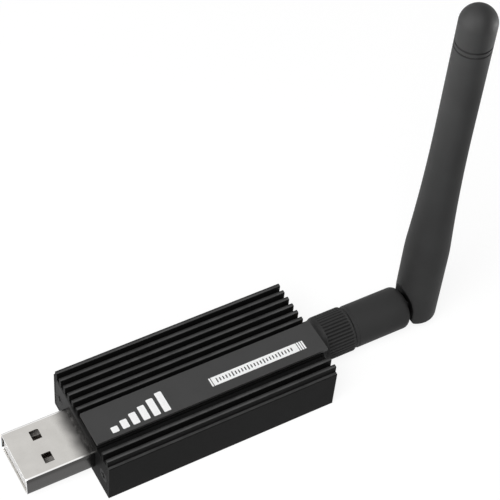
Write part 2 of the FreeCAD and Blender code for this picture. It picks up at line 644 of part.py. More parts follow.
def make_board_parts():
    """What is soldered to the board between the plug and the jack."""
    module_end = f"({USB_END} + {BOARD_START} + {BOARD_LENGTH} - module_setback)"
    module_start = f"({module_end} - module_length)"
    module = block("radio_module", "module_length", "module_width", "module_thickness",
                   f"{module_start} + module_length / 2", "0", BOARD_TOP)
    shield = make_radio_shield(module_start, f"{BOARD_TOP} + module_thickness")
    chips = [block(node, f"{size}_length", f"{size}_width", f"{size}_height",
                   f"{USB_END} + {size}_place", f"{size}_offset", BOARD_TOP)
             for node, size in (("voltage_regulator", "regulator"), ("crystal", "crystal"))]
    bridge = block("usb_bridge_chip", "bridge_side", "bridge_side", "bridge_height",
                   f"{USB_END} + bridge_place", "bridge_offset", BOARD_TOP)
    capacitors = [block(f"capacitor_{i + 1}", "capacitor_length", "capacitor_width", "capacitor_height",
                        f"{USB_END} + capacitor_place + {i} * capacitor_pitch",
                        f"capacitor_margin - {CAVITY_SIDE}", BOARD_TOP)
                  for i in range(CAPACITORS)]
    return [module, shield, bridge, *chips, group("chip_capacitors", capacitors)]


def make_antenna_jack():
    """Threaded barrel, square flange behind the end plate and four legs that grip the board.

    x = 0 is the housing's end face and the X axis the antenna's.
    """
    body = new_body("antenna_jack")
    flange_front = "-plate_thickness"
    flange_back = "(-plate_thickness - flange_thickness)"
    half = "flange_side / 2"
    pad(body, box_outline(body, "YZ_Plane", f"-{half}", half, f"-{half}", half, flange_back), "flange_thickness")
    pad(body, circles(body, "YZ_Plane", [("0", "0")], "thread_radius", flange_front),
        "jack_reach + plate_thickness")
    leg_top = "(-pin_radius + leg_height)"
    leg_bottom = "(-pin_radius - board_thickness - leg_height)"
    for outer, inner in ((half, f"{half} - leg_width"), (f"leg_width - {half}", f"-{half}")):
        for low, high in (("-pin_radius", leg_top), (leg_bottom, "-pin_radius - board_thickness")):
            pad(body, box_outline(body, "YZ_Plane", inner, outer, low, high, flange_back), "leg_length", Reversed=True)
    cut_through(body, circles(body, "YZ_Plane", [("0", "0")], "insulator_radius"))
    mouth = circles(body, "YZ_Plane", [("0", "0")], "nose_radius + pin_play", "jack_reach - socket_setback")
    pocket(body, mouth, "socket_setback", Reversed=True)
    return place(body, ANTENNA_END, "0", "axis_height")


def turned(label, profile):
    """A turned piece on the antenna axis; x = 0 is the housing's end face."""
    body = new_body(label)
    revolve(body, outline(body, "XZ_Plane", profile), "H_Axis")
    return place(body, ANTENNA_END, "0", "axis_height")


def ring(start, end, inner, outer):
    return [(start, inner), (end, inner), (end, outer), (start, outer)]


def make_jack_core():
    """The plastic core of the jack, and the centre contact with its solder pin flat on the board."""
    back = "(-plate_thickness - flange_thickness)"
    front = "(jack_reach - socket_setback)"
    core = turned("jack_insulator", ring(back, front, "socket_radius", "insulator_radius"))
    bore = "antenna_pin_radius + pin_play"
    contact = turned("jack_centre_contact", [
        (f"{back} - solder_pin_length", "0"), (f"{front} - socket_depth", "0"), (f"{front} - socket_depth", bore),
        (front, bore), (front, "socket_radius"), (back, "socket_radius"), (back, "pin_radius"),
        (f"{back} - solder_pin_length", "pin_radius")])
    return [core, contact]


def make_jack_hardware():
    """The lock washer and the thin nut that hold the jack to its plate."""
    washer = turned("jack_washer", ring("0", "washer_thickness", "thread_radius + hole_play", "washer_radius"))
    nut = new_body("jack_nut")
    flat, point = "nut_width / 2", "nut_width / sqrt(3)"
    half_point = f"{point} / 2"
    hexagon = [(point, "0"), (half_point, flat), (f"-{half_point}", flat),
               (f"-{point}", "0"), (f"-{half_point}", f"-{flat}"), (half_point, f"-{flat}")]
    pad(nut, outline(nut, "YZ_Plane", hexagon), "nut_thickness")
    cut_through(nut, circles(nut, "YZ_Plane", [("0", "0")], "thread_radius + thread_play"))
    place(nut, f"{ANTENNA_END} + washer_thickness", "0", "axis_height")
    return [washer, nut]


def make_coupling_nut():
    """The metal nut inside the sleeve: thread bore in front, a lip behind the ferrule's flange."""
    start = f"({SLEEVE_START} + end_play)"
    chamber = "(thread_radius + running_play)"
    lip = f"({COUPLING_END} - coupling_lip)"
    return turned("coupling_nut", [
        (start, chamber), (lip, chamber), (lip, "ferrule_radius + running_play"),
        (COUPLING_END, "ferrule_radius + running_play"), (COUPLING_END, "coupling_radius"),
        (start, "coupling_radius")])


def make_knurled_sleeve():
    """The plastic sleeve on the coupling nut: smooth collar, flare, ring of grooves, smooth rim."""
    body = new_body("knurled_sleeve")
    wall_start = f"({SLEEVE_END} - sleeve_end_wall)"
    hole = "ferrule_radius + running_play"
    nut_seat = "coupling_radius + shell_play"
    flare_start = f"({SLEEVE_START} + collar_length)"
    flare_end = f"({flare_start} + flare_length)"
    profile = outline(body, "XZ_Plane", [
        (SLEEVE_START, nut_seat), (wall_start, nut_seat), (wall_start, hole), (SLEEVE_END, hole),
        (SLEEVE_END, "sleeve_radius - sleeve_chamfer"), (f"{SLEEVE_END} - sleeve_chamfer", "sleeve_radius"),
        (flare_end, "sleeve_radius"), (flare_start, "collar_radius"), (SLEEVE_START, "collar_radius")])
    revolve(body, profile, "H_Axis")
    groove = outline(body, "YZ_Plane", [
        ("0", "sleeve_radius - knurl_depth"), ("knurl_width / 2", "sleeve_radius"),
        ("knurl_width / 2", "sleeve_radius + knurl_depth"), ("-knurl_width / 2", "sleeve_radius + knurl_depth"),
        ("-knurl_width / 2", "sleeve_radius")], flare_end)
    first = pocket(body, groove, f"{SLEEVE_END} - rim_length - {flare_end}", Reversed=True)
    cutting(body, "PolarPattern", {"Occurrences": "knurl_count"}, Originals=[first],
            Axis=(profile, ["H_Axis"]), Angle=360)
    return place(body, ANTENNA_END, "0", "axis_height")


def make_ferrule():
    """The antenna's metal ferrule, its insulator and its centre pin."""
    nose_start = "(jack_reach - nose_length)"
    collet_start = f"({FERRULE_END} - collet_length)"
    ferrule = turned("ferrule", [
        (nose_start, "ferrule_bore"), (FERRULE_END, "ferrule_bore"), (FERRULE_END, "collet_radius"),
        (collet_start, "collet_radius"), (collet_start, "ferrule_radius"), (FLANGE_END, "ferrule_radius"),
        (FLANGE_END, "thread_radius"), ("jack_reach", "thread_radius"), ("jack_reach", "nose_radius"),
        (nose_start, "nose_radius")])
    insulator = turned("ferrule_insulator", ring("jack_reach", FERRULE_END, "antenna_pin_radius", "ferrule_bore"))
    pin_tip = "jack_reach - socket_setback - socket_depth + pin_setback"
    pin = turned("ferrule_centre_pin", ring(pin_tip, FERRULE_END, "0", "antenna_pin_radius"))
    return [ferrule, insulator, pin]


def make_swivel_base():
    """The plastic base that turns on the ferrule, with the hinge tongue at its back."""
    body = new_body("swivel_base")
    shoulder = f"({NECK_START} + neck_length)"
    play = "running_play"
    collet_start = f"({FERRULE_END} - collet_length - end_play)"
    bore_end = f"({FERRULE_END} + end_play)"
    bore, groove = f"ferrule_radius + {play}", f"collet_radius + {play}"
    rim_start, rim_core = f"({SWIVEL_END} - swivel_rim_radius)", "(swivel_radius - swivel_rim_radius)"
    short, long = "swivel_rim_radius / 2", "swivel_rim_radius * sqrt(3) / 2"
    profile = outline(body, "XZ_Plane", [
        (NECK_START, bore), (collet_start, bore), (collet_start, groove), (bore_end, groove), (bore_end, "0"),
        (SWIVEL_END, "0"), (SWIVEL_END, rim_core), (f"{rim_start} + {long}", f"{rim_core} + {short}"),
        (f"{rim_start} + {short}", f"{rim_core} + {long}"), (rim_start, "swivel_radius"),
        (shoulder, "swivel_radius"), (shoulder, "neck_radius"), (NECK_START, "neck_radius")])
    revolve(body, profile, "H_Axis")
    side = "tongue_end_radius"
    tongue = box_outline(body, "XZ_Plane", rim_start, "hinge_reach", f"-{side}", side)
    pad(body, tongue, "tongue_width", Midplane=True)
    pad(body, circles(body, "XZ_Plane", [("hinge_reach", "0")], side), "tongue_width", Midplane=True)
    cut_through(body, circles(body, "XZ_Plane", [("hinge_reach", "0")], "hinge_pin_radius + hinge_play"))
    return place(body, ANTENNA_END, "0", "axis_height")


def mast_outline():
    """Half section of the mast without its hinge cuts, foot to seam, about the mast's own axis.

    The taper leaves the straight foot as a short cone and goes on as one long hollow arc,
    which ends upright at the waist: arc radius = (rise^2 + run^2) / (2 * run) for that arc.
    """
    foot, edge, waist = number("mast_radius"), number("foot_edge"), number("waist_radius")
    low, start, turn = -number("foot_drop"), number("taper_start"), number("taper_turn")
    end, top = number("taper_end"), number("seam_height")
    turn_radius = foot - (foot - waist) * (turn - start) / (end - start)
    rise, run = end - turn, turn_radius - waist
    arc_radius = (rise ** 2 + run ** 2) / (2 * run)
    halfway = waist + arc_radius - math.sqrt(arc_radius ** 2 - (rise / 2) ** 2)
    arc_start, arc_end = Vector(turn_radius, 0, turn), Vector(waist, 0, end)
    taper = Part.Arc(arc_start, Vector(halfway, 0, turn + rise / 2), arc_end)
    corners = [arc_end, Vector(waist, 0, top), Vector(0, 0, top), Vector(0, 0, low), Vector(foot - edge, 0, low),
               Vector(foot, 0, low + edge), Vector(foot, 0, start), arc_start]
    return [taper, *(Part.LineSegment(one, two) for one, two in zip(corners, corners[1:]))]


def cheek_cutter():
    """What is cut from the plug side of the mast's foot: a rounded corner, a flat and a hollow arc."""
    low, middle = -number("cheek_setback_low"), -number("cheek_setback_middle")
    foot, corner = -number("foot_drop"), number("cheek_corner")
    outside = 2 * number("mast_radius")
    top = Vector(-number("mast_radius"), 0, number("cheek_top"))
    corner_start, corner_end = Vector(low + corner, 0, foot), Vector(low, 0, foot + corner)
    turn = corner * (1 - math.sqrt(0.5))
    corner_round = Part.Arc(corner_start, Vector(low + turn, 0, foot + turn), corner_end)
    axis_level = Vector(low, 0, 0)
    hollow = Part.Arc(axis_level, Vector(middle, 0, number("cheek_middle")), top)
    beyond = [top, Vector(-outside, 0, top.z), Vector(-outside, 0, -outside), Vector(low + corner, 0, -outside),
              corner_start]
    edges = [corner_round, Part.LineSegment(corner_end, axis_level), hollow]
    edges += [Part.LineSegment(one, two) for one, two in zip(beyond, beyond[1:])]
    face = Part.Face(Part.Wire([curve.toShape() for curve in edges]))
    face.translate(Vector(0, -outside, 0))
    return face.extrude(Vector(0, 2 * outside, 0))


def make_mast_sleeve():
    """The tapered plastic mast: bored from the top, forked and cut back at the elbow.

    Its own origin is the elbow axis, and its Z axis the mast's.
    """
    blank = doc.addObject("Part::Feature", "mast_blank")
    wire = Part.Wire([curve.toShape() for curve in mast_outline()])
    turned_blank = Part.Face(wire).revolve(Vector(0, 0, 0), Vector(0, 0, 1), 360)
    blank.Shape = turned_blank.cut(cheek_cutter())
    body = new_body("mast_sleeve")
    body.BaseFeature = blank
    doc.recompute()
    pocket(body, circles(body, "XY_Plane", [("0", "0")], "mast_bore", "seam_height"),
           "seam_height - mast_bore_start")
    pocket(body, circles(body, "XY_Plane", [("0", "0")], "coax_radius + coax_play", "mast_bore_start"),
           "mast_bore_start")
    reach = "(tongue_end_radius + fork_play)"
    outside = "(2 * mast_radius)"
    for fork in (box_outline(body, "XZ_Plane", f"-{outside}", "0", f"-{outside}", reach),
                 box_outline(body, "XZ_Plane", "0", reach, f"-{outside}", "0"),
                 circles(body, "XZ_Plane", [("0", "0")], reach)):
        pocket(body, fork, "tongue_width + 2 * fork_play", Midplane=True)
    pin = circles(body, "XZ_Plane", [("0", "0")], "hinge_pin_radius", "hinge_pin_near")
    pocket(body, pin, "hinge_pin_near + mast_radius")
    return place(body, HINGE_X, "0", "axis_height")


def make_elbow_pin():
    """The pin, pressed into the cheeks from the far side."""
    body = new_body("elbow_pin")
    pad(body, circles(body, "XZ_Plane", [("0", "0")], "hinge_pin_radius", "hinge_pin_near"),
        "hinge_pin_near + hinge_pin_far", Reversed=True)
    return place(body, HINGE_X, "0", "axis_height")


def mast_piece(label, profile):
    """A turned piece on the mast's axis; z = 0 is the elbow axis."""
    body = new_body(label)
    revolve(body, outline(body, "XZ_Plane", profile), "V_Axis")
    return place(body, HINGE_X, "0", "axis_height")


def make_tip_cap():
    """The cap: spigot in the mast's bore, ring groove and a round dome."""
    spigot = "(mast_bore - spigot_play)"
    dome_start = "seam_height + cap_length - waist_radius"
    ring_low = "(seam_height + ring_setback)"
    ring_high = f"({ring_low} + ring_width)"
    body = mast_piece("tip_cap", [
        ("0", "seam_height - spigot_length"), (spigot, "seam_height - spigot_length"), (spigot, "seam_height"),
        ("waist_radius - seam_chamfer", "seam_height"), ("waist_radius", "seam_height + seam_chamfer"),
        ("waist_radius", ring_low), ("waist_radius - ring_depth", ring_low), ("waist_radius - ring_depth", ring_high),
        ("waist_radius", ring_high), ("waist_radius", dome_start), ("0", dome_start)])
    adding(body, "AdditiveSphere", {"Radius": "waist_radius", "Placement.Base.z": dome_start}, Angle1=0)
    return body


def make_radiator():
    """The coaxial lead, the lower sleeve that it passes through, and the upper rod."""
    lead = mast_piece("mast_coax", [
        ("0", "coax_start"), ("coax_radius", "coax_start"), ("coax_radius", "dipole_middle"), ("0", "dipole_middle")])
    crown = "(dipole_middle - dipole_wall)"
    inner = "(dipole_radius - dipole_wall)"
    sleeve = mast_piece("radiator_sleeve", [
        (inner, "dipole_start"), ("dipole_radius", "dipole_start"), ("dipole_radius", "dipole_middle"),
        ("coax_radius + coax_play", "dipole_middle"), ("coax_radius + coax_play", crown), (inner, crown)])
    rod = mast_piece("radiator_rod", [
        ("0", "dipole_middle"), ("rod_radius", "dipole_middle"), ("rod_radius", "dipole_end"), ("0", "dipole_end")])
    return [lead, sleeve, rod]


sub_parts = [
    make_housing(), make_label_plate(), make_usb_end_plate(), make_antenna_end_plate(), *make_end_screws(),
    make_usb_shell(), make_usb_insulator(), make_usb_contacts(), make_circuit_board(), *make_board_parts(),
    make_antenna_jack(), *make_jack_core(), *make_jack_hardware(), make_coupling_nut(), make_knurled_sleeve(),
    *make_ferrule(), make_swivel_base(), make_mast_sleeve(), make_elbow_pin(), make_tip_cap(), *make_radiator(),
]
doc.recompute()

for piece in doc.Objects:
    if "Invalid" in piece.State or "Error" in piece.State:
        raise SystemExit(f"{piece.Label} did not compute: {piece.State}")
for sub_part in sub_parts:
    if sub_part.Shape.isNull() or not sub_part.Shape.isValid():
        raise SystemExit(f"{sub_part.Label} has no valid shape")

os.makedirs("parts", exist_ok=True)
for sub_part in sub_parts:
    sub_part.Shape.exportStep(f"parts/{sub_part.Label}.step")
    print(sub_part.Label, len(sub_part.Shape.Solids), round(sub_part.Shape.Volume, 2))
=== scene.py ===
"""Looks of a smart home USB radio stick: black finned housing, bright USB plug, folding antenna.

Metres, in the part's own frame: +X runs from the plug to the antenna, +Y to the far side, +Z up.
Every new piece is a surface over a grid of two parameters, worked out as whole arrays, and
its function says the formula in words. Lengths in this script are in millimetres until a
mesh is made or a lamp or the camera is placed.
"""

import math

import bpy
import numpy as np
from mathutils import Matrix, Vector


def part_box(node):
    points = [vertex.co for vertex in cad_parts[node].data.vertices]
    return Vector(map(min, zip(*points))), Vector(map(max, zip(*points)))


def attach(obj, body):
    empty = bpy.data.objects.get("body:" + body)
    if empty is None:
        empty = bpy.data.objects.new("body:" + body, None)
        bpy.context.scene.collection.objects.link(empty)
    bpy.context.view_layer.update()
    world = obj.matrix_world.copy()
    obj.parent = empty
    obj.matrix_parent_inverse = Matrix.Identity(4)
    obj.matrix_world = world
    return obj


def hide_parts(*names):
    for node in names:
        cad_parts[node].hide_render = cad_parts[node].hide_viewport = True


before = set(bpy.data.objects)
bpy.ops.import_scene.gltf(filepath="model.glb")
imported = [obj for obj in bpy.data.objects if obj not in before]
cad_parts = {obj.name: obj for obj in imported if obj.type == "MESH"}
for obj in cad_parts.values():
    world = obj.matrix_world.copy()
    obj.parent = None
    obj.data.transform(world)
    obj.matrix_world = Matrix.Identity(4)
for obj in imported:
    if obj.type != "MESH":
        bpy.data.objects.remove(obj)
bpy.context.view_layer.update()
MM = 0.001


def extent(node):
    """Lowest and highest corner of a construction node in millimetres."""
    low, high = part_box(node)
    return np.array(low) / MM, np.array(high) / MM


# Places of the construction nodes

HOUSING_LOW, HOUSING_HIGH = extent("housing")
SHELL_LOW, SHELL_HIGH = extent("usb_shell")
GRIP_LOW, GRIP_HIGH = extent("knurled_sleeve")
PIN_LOW, PIN_HIGH = extent("elbow_pin")
USB_END, FIN_TOP = HOUSING_LOW[0], HOUSING_HIGH[2]
PLUG_TIP, PLUG_BOTTOM = SHELL_LOW[0], SHELL_LOW[2]
PLUG_MIDDLE = (SHELL_LOW[1] + SHELL_HIGH[1]) / 2
AXIS_UP = (GRIP_LOW[2] + GRIP_HIGH[2]) / 2
HINGE_ALONG = (PIN_LOW[0] + PIN_HIGH[0]) / 2
LABEL_TOP = extent("label_plate")[1][2]
SWIVEL_START = extent("swivel_base")[0][0]
FERRULE_END = extent("ferrule")[1][0]
SEAM_UP = extent("mast_sleeve")[1][2] - AXIS_UP
CAP_UP = extent("tip_cap")[1][2] - AXIS_UP

# Housing: the shoulders' width and height, and the fins' pitch from there
SHOULDER_WIDTH, SHOULDER_UP, FIN_PITCH = 0.685, 10.5, 1.94
FIRST_FIN = HOUSING_HIGH[1] - SHOULDER_WIDTH

# Plug: its section, its sheet with the seam below, and the windows, along X from the tip
PLUG_WIDTH, PLUG_HEIGHT, PLUG_BEND = 12.0, 4.5, 0.5
SHEET, SEAM, SHEARED_EDGE = 0.3, 0.12, 0.05
WINDOW_MIDDLE, WINDOW_LENGTH = 6.05, 1.95
WINDOW_WIDTH, WINDOW_SPACING = 2.3, 5.85

# Print on the label: a stepped signal sign and a ruled bar, along X from the housing's plug end
INK = 0.015
SIGN_STEPS, STEP_WIDTH, STEP_CORNER = 6, 1.5, 0.2
SIGN_START, SIGN_END = 3.9, 16.7
SIGN_FOOT, LOWEST_STEP, HIGHEST_STEP = -6.5, -5.1, -1.6
BAR_NEAR, BAR_FAR, BAR_CORNER = -5.3, -3.2, 0.03
BAR_START, BAR_END = 26.6, 48.4
RULE, LEFT_SLICE, RIGHT_SLICE, RIGHT_SLICES = 0.17, 0.5, 0.52, 3
TICK_WIDTH, TICK_PITCH, TICK_MARGIN = 0.26, 0.72, 0.9
TICK_REACH, LONG_TICK_MORE, LONG_TICK_EVERY = 0.42, 0.16, 5

# Knurled sleeve: collar, flare, knurl and back rim, and the bores for the nut and the ferrule
GRIP_RADIUS = (GRIP_HIGH[1] - GRIP_LOW[1]) / 2
COLLAR_RADIUS, COLLAR, FLARE = 4.58, 1.2, 0.8
BACK_RIM, BACK_EDGE, BACK_WALL = 0.6, 0.4, 0.7
KNURLS, KNURL_DEPTH, KNURL_RUN_OUT = 40, 0.26, 0.35
NUT_BORE, FERRULE_BORE = 4.0, 2.65

# Swivel base: barrel, the room for the ferrule's ring, and the hinge tongue
SWIVEL_RADIUS, SWIVEL_RIM, NECK_RADIUS, NECK = 4.7, 1.5, 4.58, 0.8
ELBOW_GAP = 3.75
RING_ROOM_RADIUS, RING_ROOM, RING_PLAY = 3.05, 1.2, 0.1
TONGUE_HALF, TONGUE_RADIUS, TONGUE_EDGE, TONGUE_SUNK = 1.5, 2.3, 0.15, 0.4
PIN_HOLE = 0.83

# Mast: heights above the elbow's axis, radii of the round section, the fork slot and the cheeks' cut
MAST_RADIUS, WAIST_RADIUS = 4.77, 3.7
FOOT, TAPER_START, TAPER_TURN, TAPER_END = -2.65, 16.0, 20.5, 54.0
FOOT_EDGE, SEAM_BEVEL = 0.4, 0.15
SLOT_HALF, SLOT_REACH = 1.6, 2.4
CHEEK_FLAT, CHEEK_MIDDLE, CHEEK_MIDDLE_UP, CHEEK_TOP = 2.9, 3.52, 4.0, 7.2
CHEEK_CORNER, CHEEK_SOFTNESS, CHEEK_FADE = 0.8, 0.25, 0.6
MAST_BORE, BORE_START = 2.4, 9.0

# Cap: spigot, the bevel at its seam, and the ring groove above the seam
SPIGOT_RADIUS, SPIGOT = 2.37, 3.5
CAP_BEVEL = 0.22
RING_START, RING_END, RING_DEPTH = 0.95, 1.35, 0.2

# Columns of faces round a turned piece, round the mast's skin, and across one wall of its slot
ROUND_COLUMNS = 144
SLOT_COLUMNS = 50
SKIN_COLUMNS = 3 * SLOT_COLUMNS


# Meshes from grids of points

WELD = 2e-8


def skin(points, wrap_around=False, wrap_along=False, keep=None):
    """The points of a grid and its four-sided faces; keep is a mask of the faces that stay."""
    rows, columns = points.shape[:2]
    index = np.arange(rows * columns).reshape(rows, columns)
    if wrap_along:
        index = np.vstack([index, index[:1]])
    if wrap_around:
        index = np.hstack([index, index[:, :1]])
    faces = np.stack([index[:-1, :-1], index[:-1, 1:], index[1:, 1:], index[1:, :-1]], axis=-1)
    faces = faces.reshape(-1, 4) if keep is None else faces[keep]
    return points.reshape(-1, 3), faces


def flipped(part):
    """The same skin with its faces turned to the other side."""
    points, faces = part
    return points, faces[:, ::-1]


def make_piece(name, parts, body, finish, smooth_angle=40.0):
    """One mesh from several skins, welded where they meet, riding on a body.

    A face with two equal corners, as at a pole, becomes a triangle, and one with fewer left is dropped.
    """
    starts = np.cumsum([0] + [len(points) for points, _ in parts])
    points = np.vstack([points for points, _ in parts]) * MM
    faces = np.vstack([faces + start for (_, faces), start in zip(parts, starts)])
    spots = np.round(points / WELD).astype(np.int64)
    _, first, same = np.unique(spots, axis=0, return_index=True, return_inverse=True)
    points, faces = points[first], same.reshape(-1)[faces]
    repeated = faces == np.roll(faces, -1, axis=1)
    four_sided = faces[repeated.sum(axis=1) == 0]
    pinched = repeated.sum(axis=1) == 1
    three_sided = faces[pinched][~repeated[pinched]].reshape(-1, 3)
    mesh = bpy.data.meshes.new(name)
    mesh.from_pydata(points, [], [*four_sided.tolist(), *three_sided.tolist()])
    mesh.validate()
    mesh.shade_smooth()
    mesh.set_sharp_from_angle(angle=math.radians(smooth_angle))
    piece = bpy.data.objects.new(name, mesh)
    bpy.context.scene.collection.objects.link(piece)
    piece.data.materials.append(finish)
    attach(piece, body)
    return piece


def rounded(corners, radii, steps=6, closed=True):
    """A polygon's corners, each turned into an arc that touches both of its sides.

    With h half the angle between the sides at a corner, the arc starts radius / tan(h)
    from the corner and its centre lies radius / sin(h) along the bisector.
    """
    corners = np.asarray(corners, float)
    radii = np.broadcast_to(radii, len(corners))
    before, after = np.roll(corners, 1, axis=0), np.roll(corners, -1, axis=0)
    share = np.linspace(0, 1, steps + 1)[:, None]
    stretches = []
    for index, (corner, radius) in enumerate(zip(corners, radii)):
        if radius == 0 or (not closed and index in (0, len(corners) - 1)):
            stretches.append(corner[None])
            continue
        back = (before[index] - corner) / np.linalg.norm(before[index] - corner)
        ahead = (after[index] - corner) / np.linalg.norm(after[index] - corner)
        half = math.acos(np.clip(back @ ahead, -1, 1)) / 2
        bisector = (back + ahead) / np.linalg.norm(back + ahead)
        centre = corner + bisector * radius / math.sin(half)
        start, end = (corner + side * radius / math.tan(half) - centre for side in (back, ahead))
        sweep = math.pi - 2 * half
        arc = np.sin((1 - share) * sweep) * start + np.sin(share * sweep) * end
        stretches.append(centre + arc / math.sin(sweep))
    return np.vstack(stretches)


def filled_in(path, spacing, closed=True):
    """The path with points added on its long stretches, no further apart than the spacing."""
    ends = np.vstack([path, path[:1]]) if closed else path
    lengths = np.linalg.norm(np.diff(ends, axis=0), axis=1)
    counts = np.maximum(1, np.ceil(lengths / spacing)).astype(int)
    runs = [start + (end - start) * np.linspace(0, 1, count + 1)[:-1, None]
            for start, end, count in zip(ends[:-1], ends[1:], counts)]
    return np.vstack(runs if closed else runs + [path[-1:]])


def stations(start, *stretches):
    """Places from the start through the end of each stretch, which is given with its number of steps."""
    places = [[start]]
    for end, steps in stretches:
        places.append(np.linspace(start, end, steps + 1)[1:])
        start = end
    return np.concatenate(places)


def turned_along_x(profile, columns, radius_change=None):
    """Rows of (along, radius) swept round the antenna's axis: y = r cos(a), z = axis + r sin(a)."""
    angle = np.linspace(0, 2 * np.pi, columns, endpoint=False)[None]
    along, radius = profile[:, :1], profile[:, 1:]
    radius = radius + (0 if radius_change is None else radius_change(along, radius, angle))
    radius = np.broadcast_to(radius, (len(profile), columns))
    along = np.broadcast_to(along, radius.shape)
    return np.stack([along, radius * np.cos(angle), AXIS_UP + radius * np.sin(angle)], axis=-1)


def turned_up(height, radius, angle):
    """Points round the mast's axis: x = hinge + r cos(a), y = r sin(a), z = axis + height."""
    return np.stack([HINGE_ALONG + radius * np.cos(angle), radius * np.sin(angle),
                     AXIS_UP + height + 0 * angle], axis=-1)


# Finishes

class Finish:
    """One material made of nodes, with its patterns in millimetres of Object coordinates."""

    def __init__(self, name, roughness=0.5, metallic=0.0, specular=0.5):
        self.material = bpy.data.materials.new(name)
        self.material.use_nodes = True
        self.tree = self.material.node_tree
        self.shader = self.tree.nodes["Principled BSDF"]
        self.shader.inputs["Roughness"].default_value = roughness
        self.shader.inputs["Metallic"].default_value = metallic
        self.shader.inputs["Specular IOR Level"].default_value = specular
        place = self.tree.nodes.new("ShaderNodeTexCoord")
        self.place = self.math_vector("MULTIPLY", place.outputs["Object"], (1 / MM,) * 3)

    def set(self, socket, value):
        """Links a pattern to a socket, or sets a plain value on it."""
        if hasattr(value, "is_output"):
            self.tree.links.new(value, socket)
        else:
            socket.default_value = value

    def math_vector(self, operation, one, other):
        step = self.tree.nodes.new("ShaderNodeVectorMath")
        step.operation = operation
        self.set(step.inputs[0], one)
        self.set(step.inputs[1], other)
        return step.outputs[0]

    def math(self, operation, one, other=0.5):
        """One sum; the other value is idle where the operation takes a single one."""
        step = self.tree.nodes.new("ShaderNodeMath")
        step.operation = operation
        self.set(step.inputs[0], one)
        self.set(step.inputs[1], other)
        return step.outputs[0]

    def product(self, first, *others):
        for other in others:
            first = self.math("MULTIPLY", first, other)
        return first

    def part_of(self, axis):
        """The place along one axis, 0 for X to 2 for Z, in millimetres."""
        split = self.tree.nodes.new("ShaderNodeSeparateXYZ")
        self.set(split.inputs[0], self.place)
        return split.outputs[axis]

    def noise(self, per_mm, detail=3.0, stretch=(1, 1, 1), seed=0.0):
        """Cloudy noise between 0 and 1, with so many lumps to a millimetre along each axis."""
        texture = self.tree.nodes.new("ShaderNodeTexNoise")
        moved = self.math_vector("MULTIPLY", self.place, stretch)
        moved = self.math_vector("ADD", moved, (seed, seed, seed))
        self.set(texture.inputs["Vector"], moved)
        texture.inputs["Scale"].default_value = per_mm
        texture.inputs["Detail"].default_value = detail
        return texture.outputs["Fac"]

    def spread(self, value, low, high, out_low=0.0, out_high=1.0):
        """Maps low..high of the value to out_low..out_high, smoothly and held at the ends."""
        step = self.tree.nodes.new("ShaderNodeMapRange")
        step.interpolation_type = "SMOOTHSTEP"
        ends = {"From Min": low, "From Max": high, "To Min": out_low, "To Max": out_high}
        for name, number in ends.items():
            step.inputs[name].default_value = number
        self.set(step.inputs["Value"], value)
        return step.outputs["Result"]

    def band(self, value, low, high, edge):
        """1 where the value lies between low and high, 0 outside, with soft edges."""
        return self.product(self.spread(value, low - edge, low + edge),
                            self.spread(value, high + edge, high - edge))

    def distance(self, axes, centres):
        """Distance in millimetres from a line through the centres, along the axis that isn't named."""
        aways = [self.math("SUBTRACT", self.part_of(axis), centre) for axis, centre in zip(axes, centres)]
        return self.math("SQRT", self.math("ADD", *(self.product(away, away) for away in aways)))

    def blend(self, factor, first, second):
        mix = self.tree.nodes.new("ShaderNodeMix")
        mix.data_type = "RGBA"
        self.set(mix.inputs["Factor"], factor)
        for socket, colour in ((mix.inputs["A"], first), (mix.inputs["B"], second)):
            self.set(socket, colour if hasattr(colour, "is_output") else (*colour, 1.0))
        return mix.outputs["Result"]

    def colour(self, value):
        self.set(self.shader.inputs["Base Color"], value)

    def roughness(self, value):
        self.set(self.shader.inputs["Roughness"], value)

    def relief(self, height, depth):
        """Bump from a height between 0 and 1 that stands for a depth in millimetres."""
        bump = self.tree.nodes.new("ShaderNodeBump")
        bump.inputs["Strength"].default_value = 1.0
        bump.inputs["Distance"].default_value = depth * MM
        last = self.shader.inputs["Normal"]
        if last.is_linked:
            self.set(bump.inputs["Normal"], last.links[0].from_socket)
        self.set(bump.inputs["Height"], height)
        self.set(last, bump.outputs["Normal"])


def grey(level, warm=0.0):
    """A grey of this level; warm is the share by which its red is above it and its blue below."""
    return (level * (1 + warm), level, level * (1 - warm))


def anodised_housing():
    """Bead-blasted black aluminium with faint die lines.

    The shoulders and the near edge of each fin's tip carry a painted highlight, uneven in patches.
    """
    finish = Finish("anodised_housing", specular=0.06)
    blast = finish.noise(9.0, detail=4.0)
    die_lines = finish.noise(5.0, detail=2.0, stretch=(0.03, 1.0, 1.0), seed=3.0)
    cloud = finish.noise(0.12, detail=2.0, seed=7.0)
    body = finish.blend(finish.spread(cloud, 0.3, 0.7), grey(0.003), grey(0.005))
    body = finish.blend(finish.spread(blast, 0.35, 0.75), body, grey(0.01))
    across, height = finish.part_of(1), finish.part_of(2)
    from_near_face = finish.math("MODULO", finish.math("ADD", across, FIRST_FIN), FIN_PITCH)
    # Painted highlight: the near edge of each fin's tip and the shoulders are painted lighter, as lit,
    # unevenly in patches.
    tip = finish.product(finish.spread(height, FIN_TOP - 0.16, FIN_TOP - 0.02),
                         finish.spread(from_near_face, 0.2, 0.65, 1.0, 0.3))
    outside = finish.spread(finish.math("ABSOLUTE", across), FIRST_FIN + 0.03, FIRST_FIN + 0.12)
    shoulder = finish.product(finish.spread(height, SHOULDER_UP - 0.12, SHOULDER_UP - 0.02), outside, 0.6)
    patches = finish.spread(finish.noise(0.7, stretch=(0.4, 1.0, 1.0), seed=11.0), 0.25, 0.7, 0.62, 1.0)
    painted_highlight = finish.product(finish.math("MAXIMUM", tip, shoulder), patches)
    finish.colour(finish.blend(painted_highlight, body, grey(0.09)))
    finish.roughness(finish.spread(blast, 0.3, 0.7, 0.5, 0.64))
    finish.relief(blast, 0.012)
    finish.relief(die_lines, 0.008)
    return finish.material


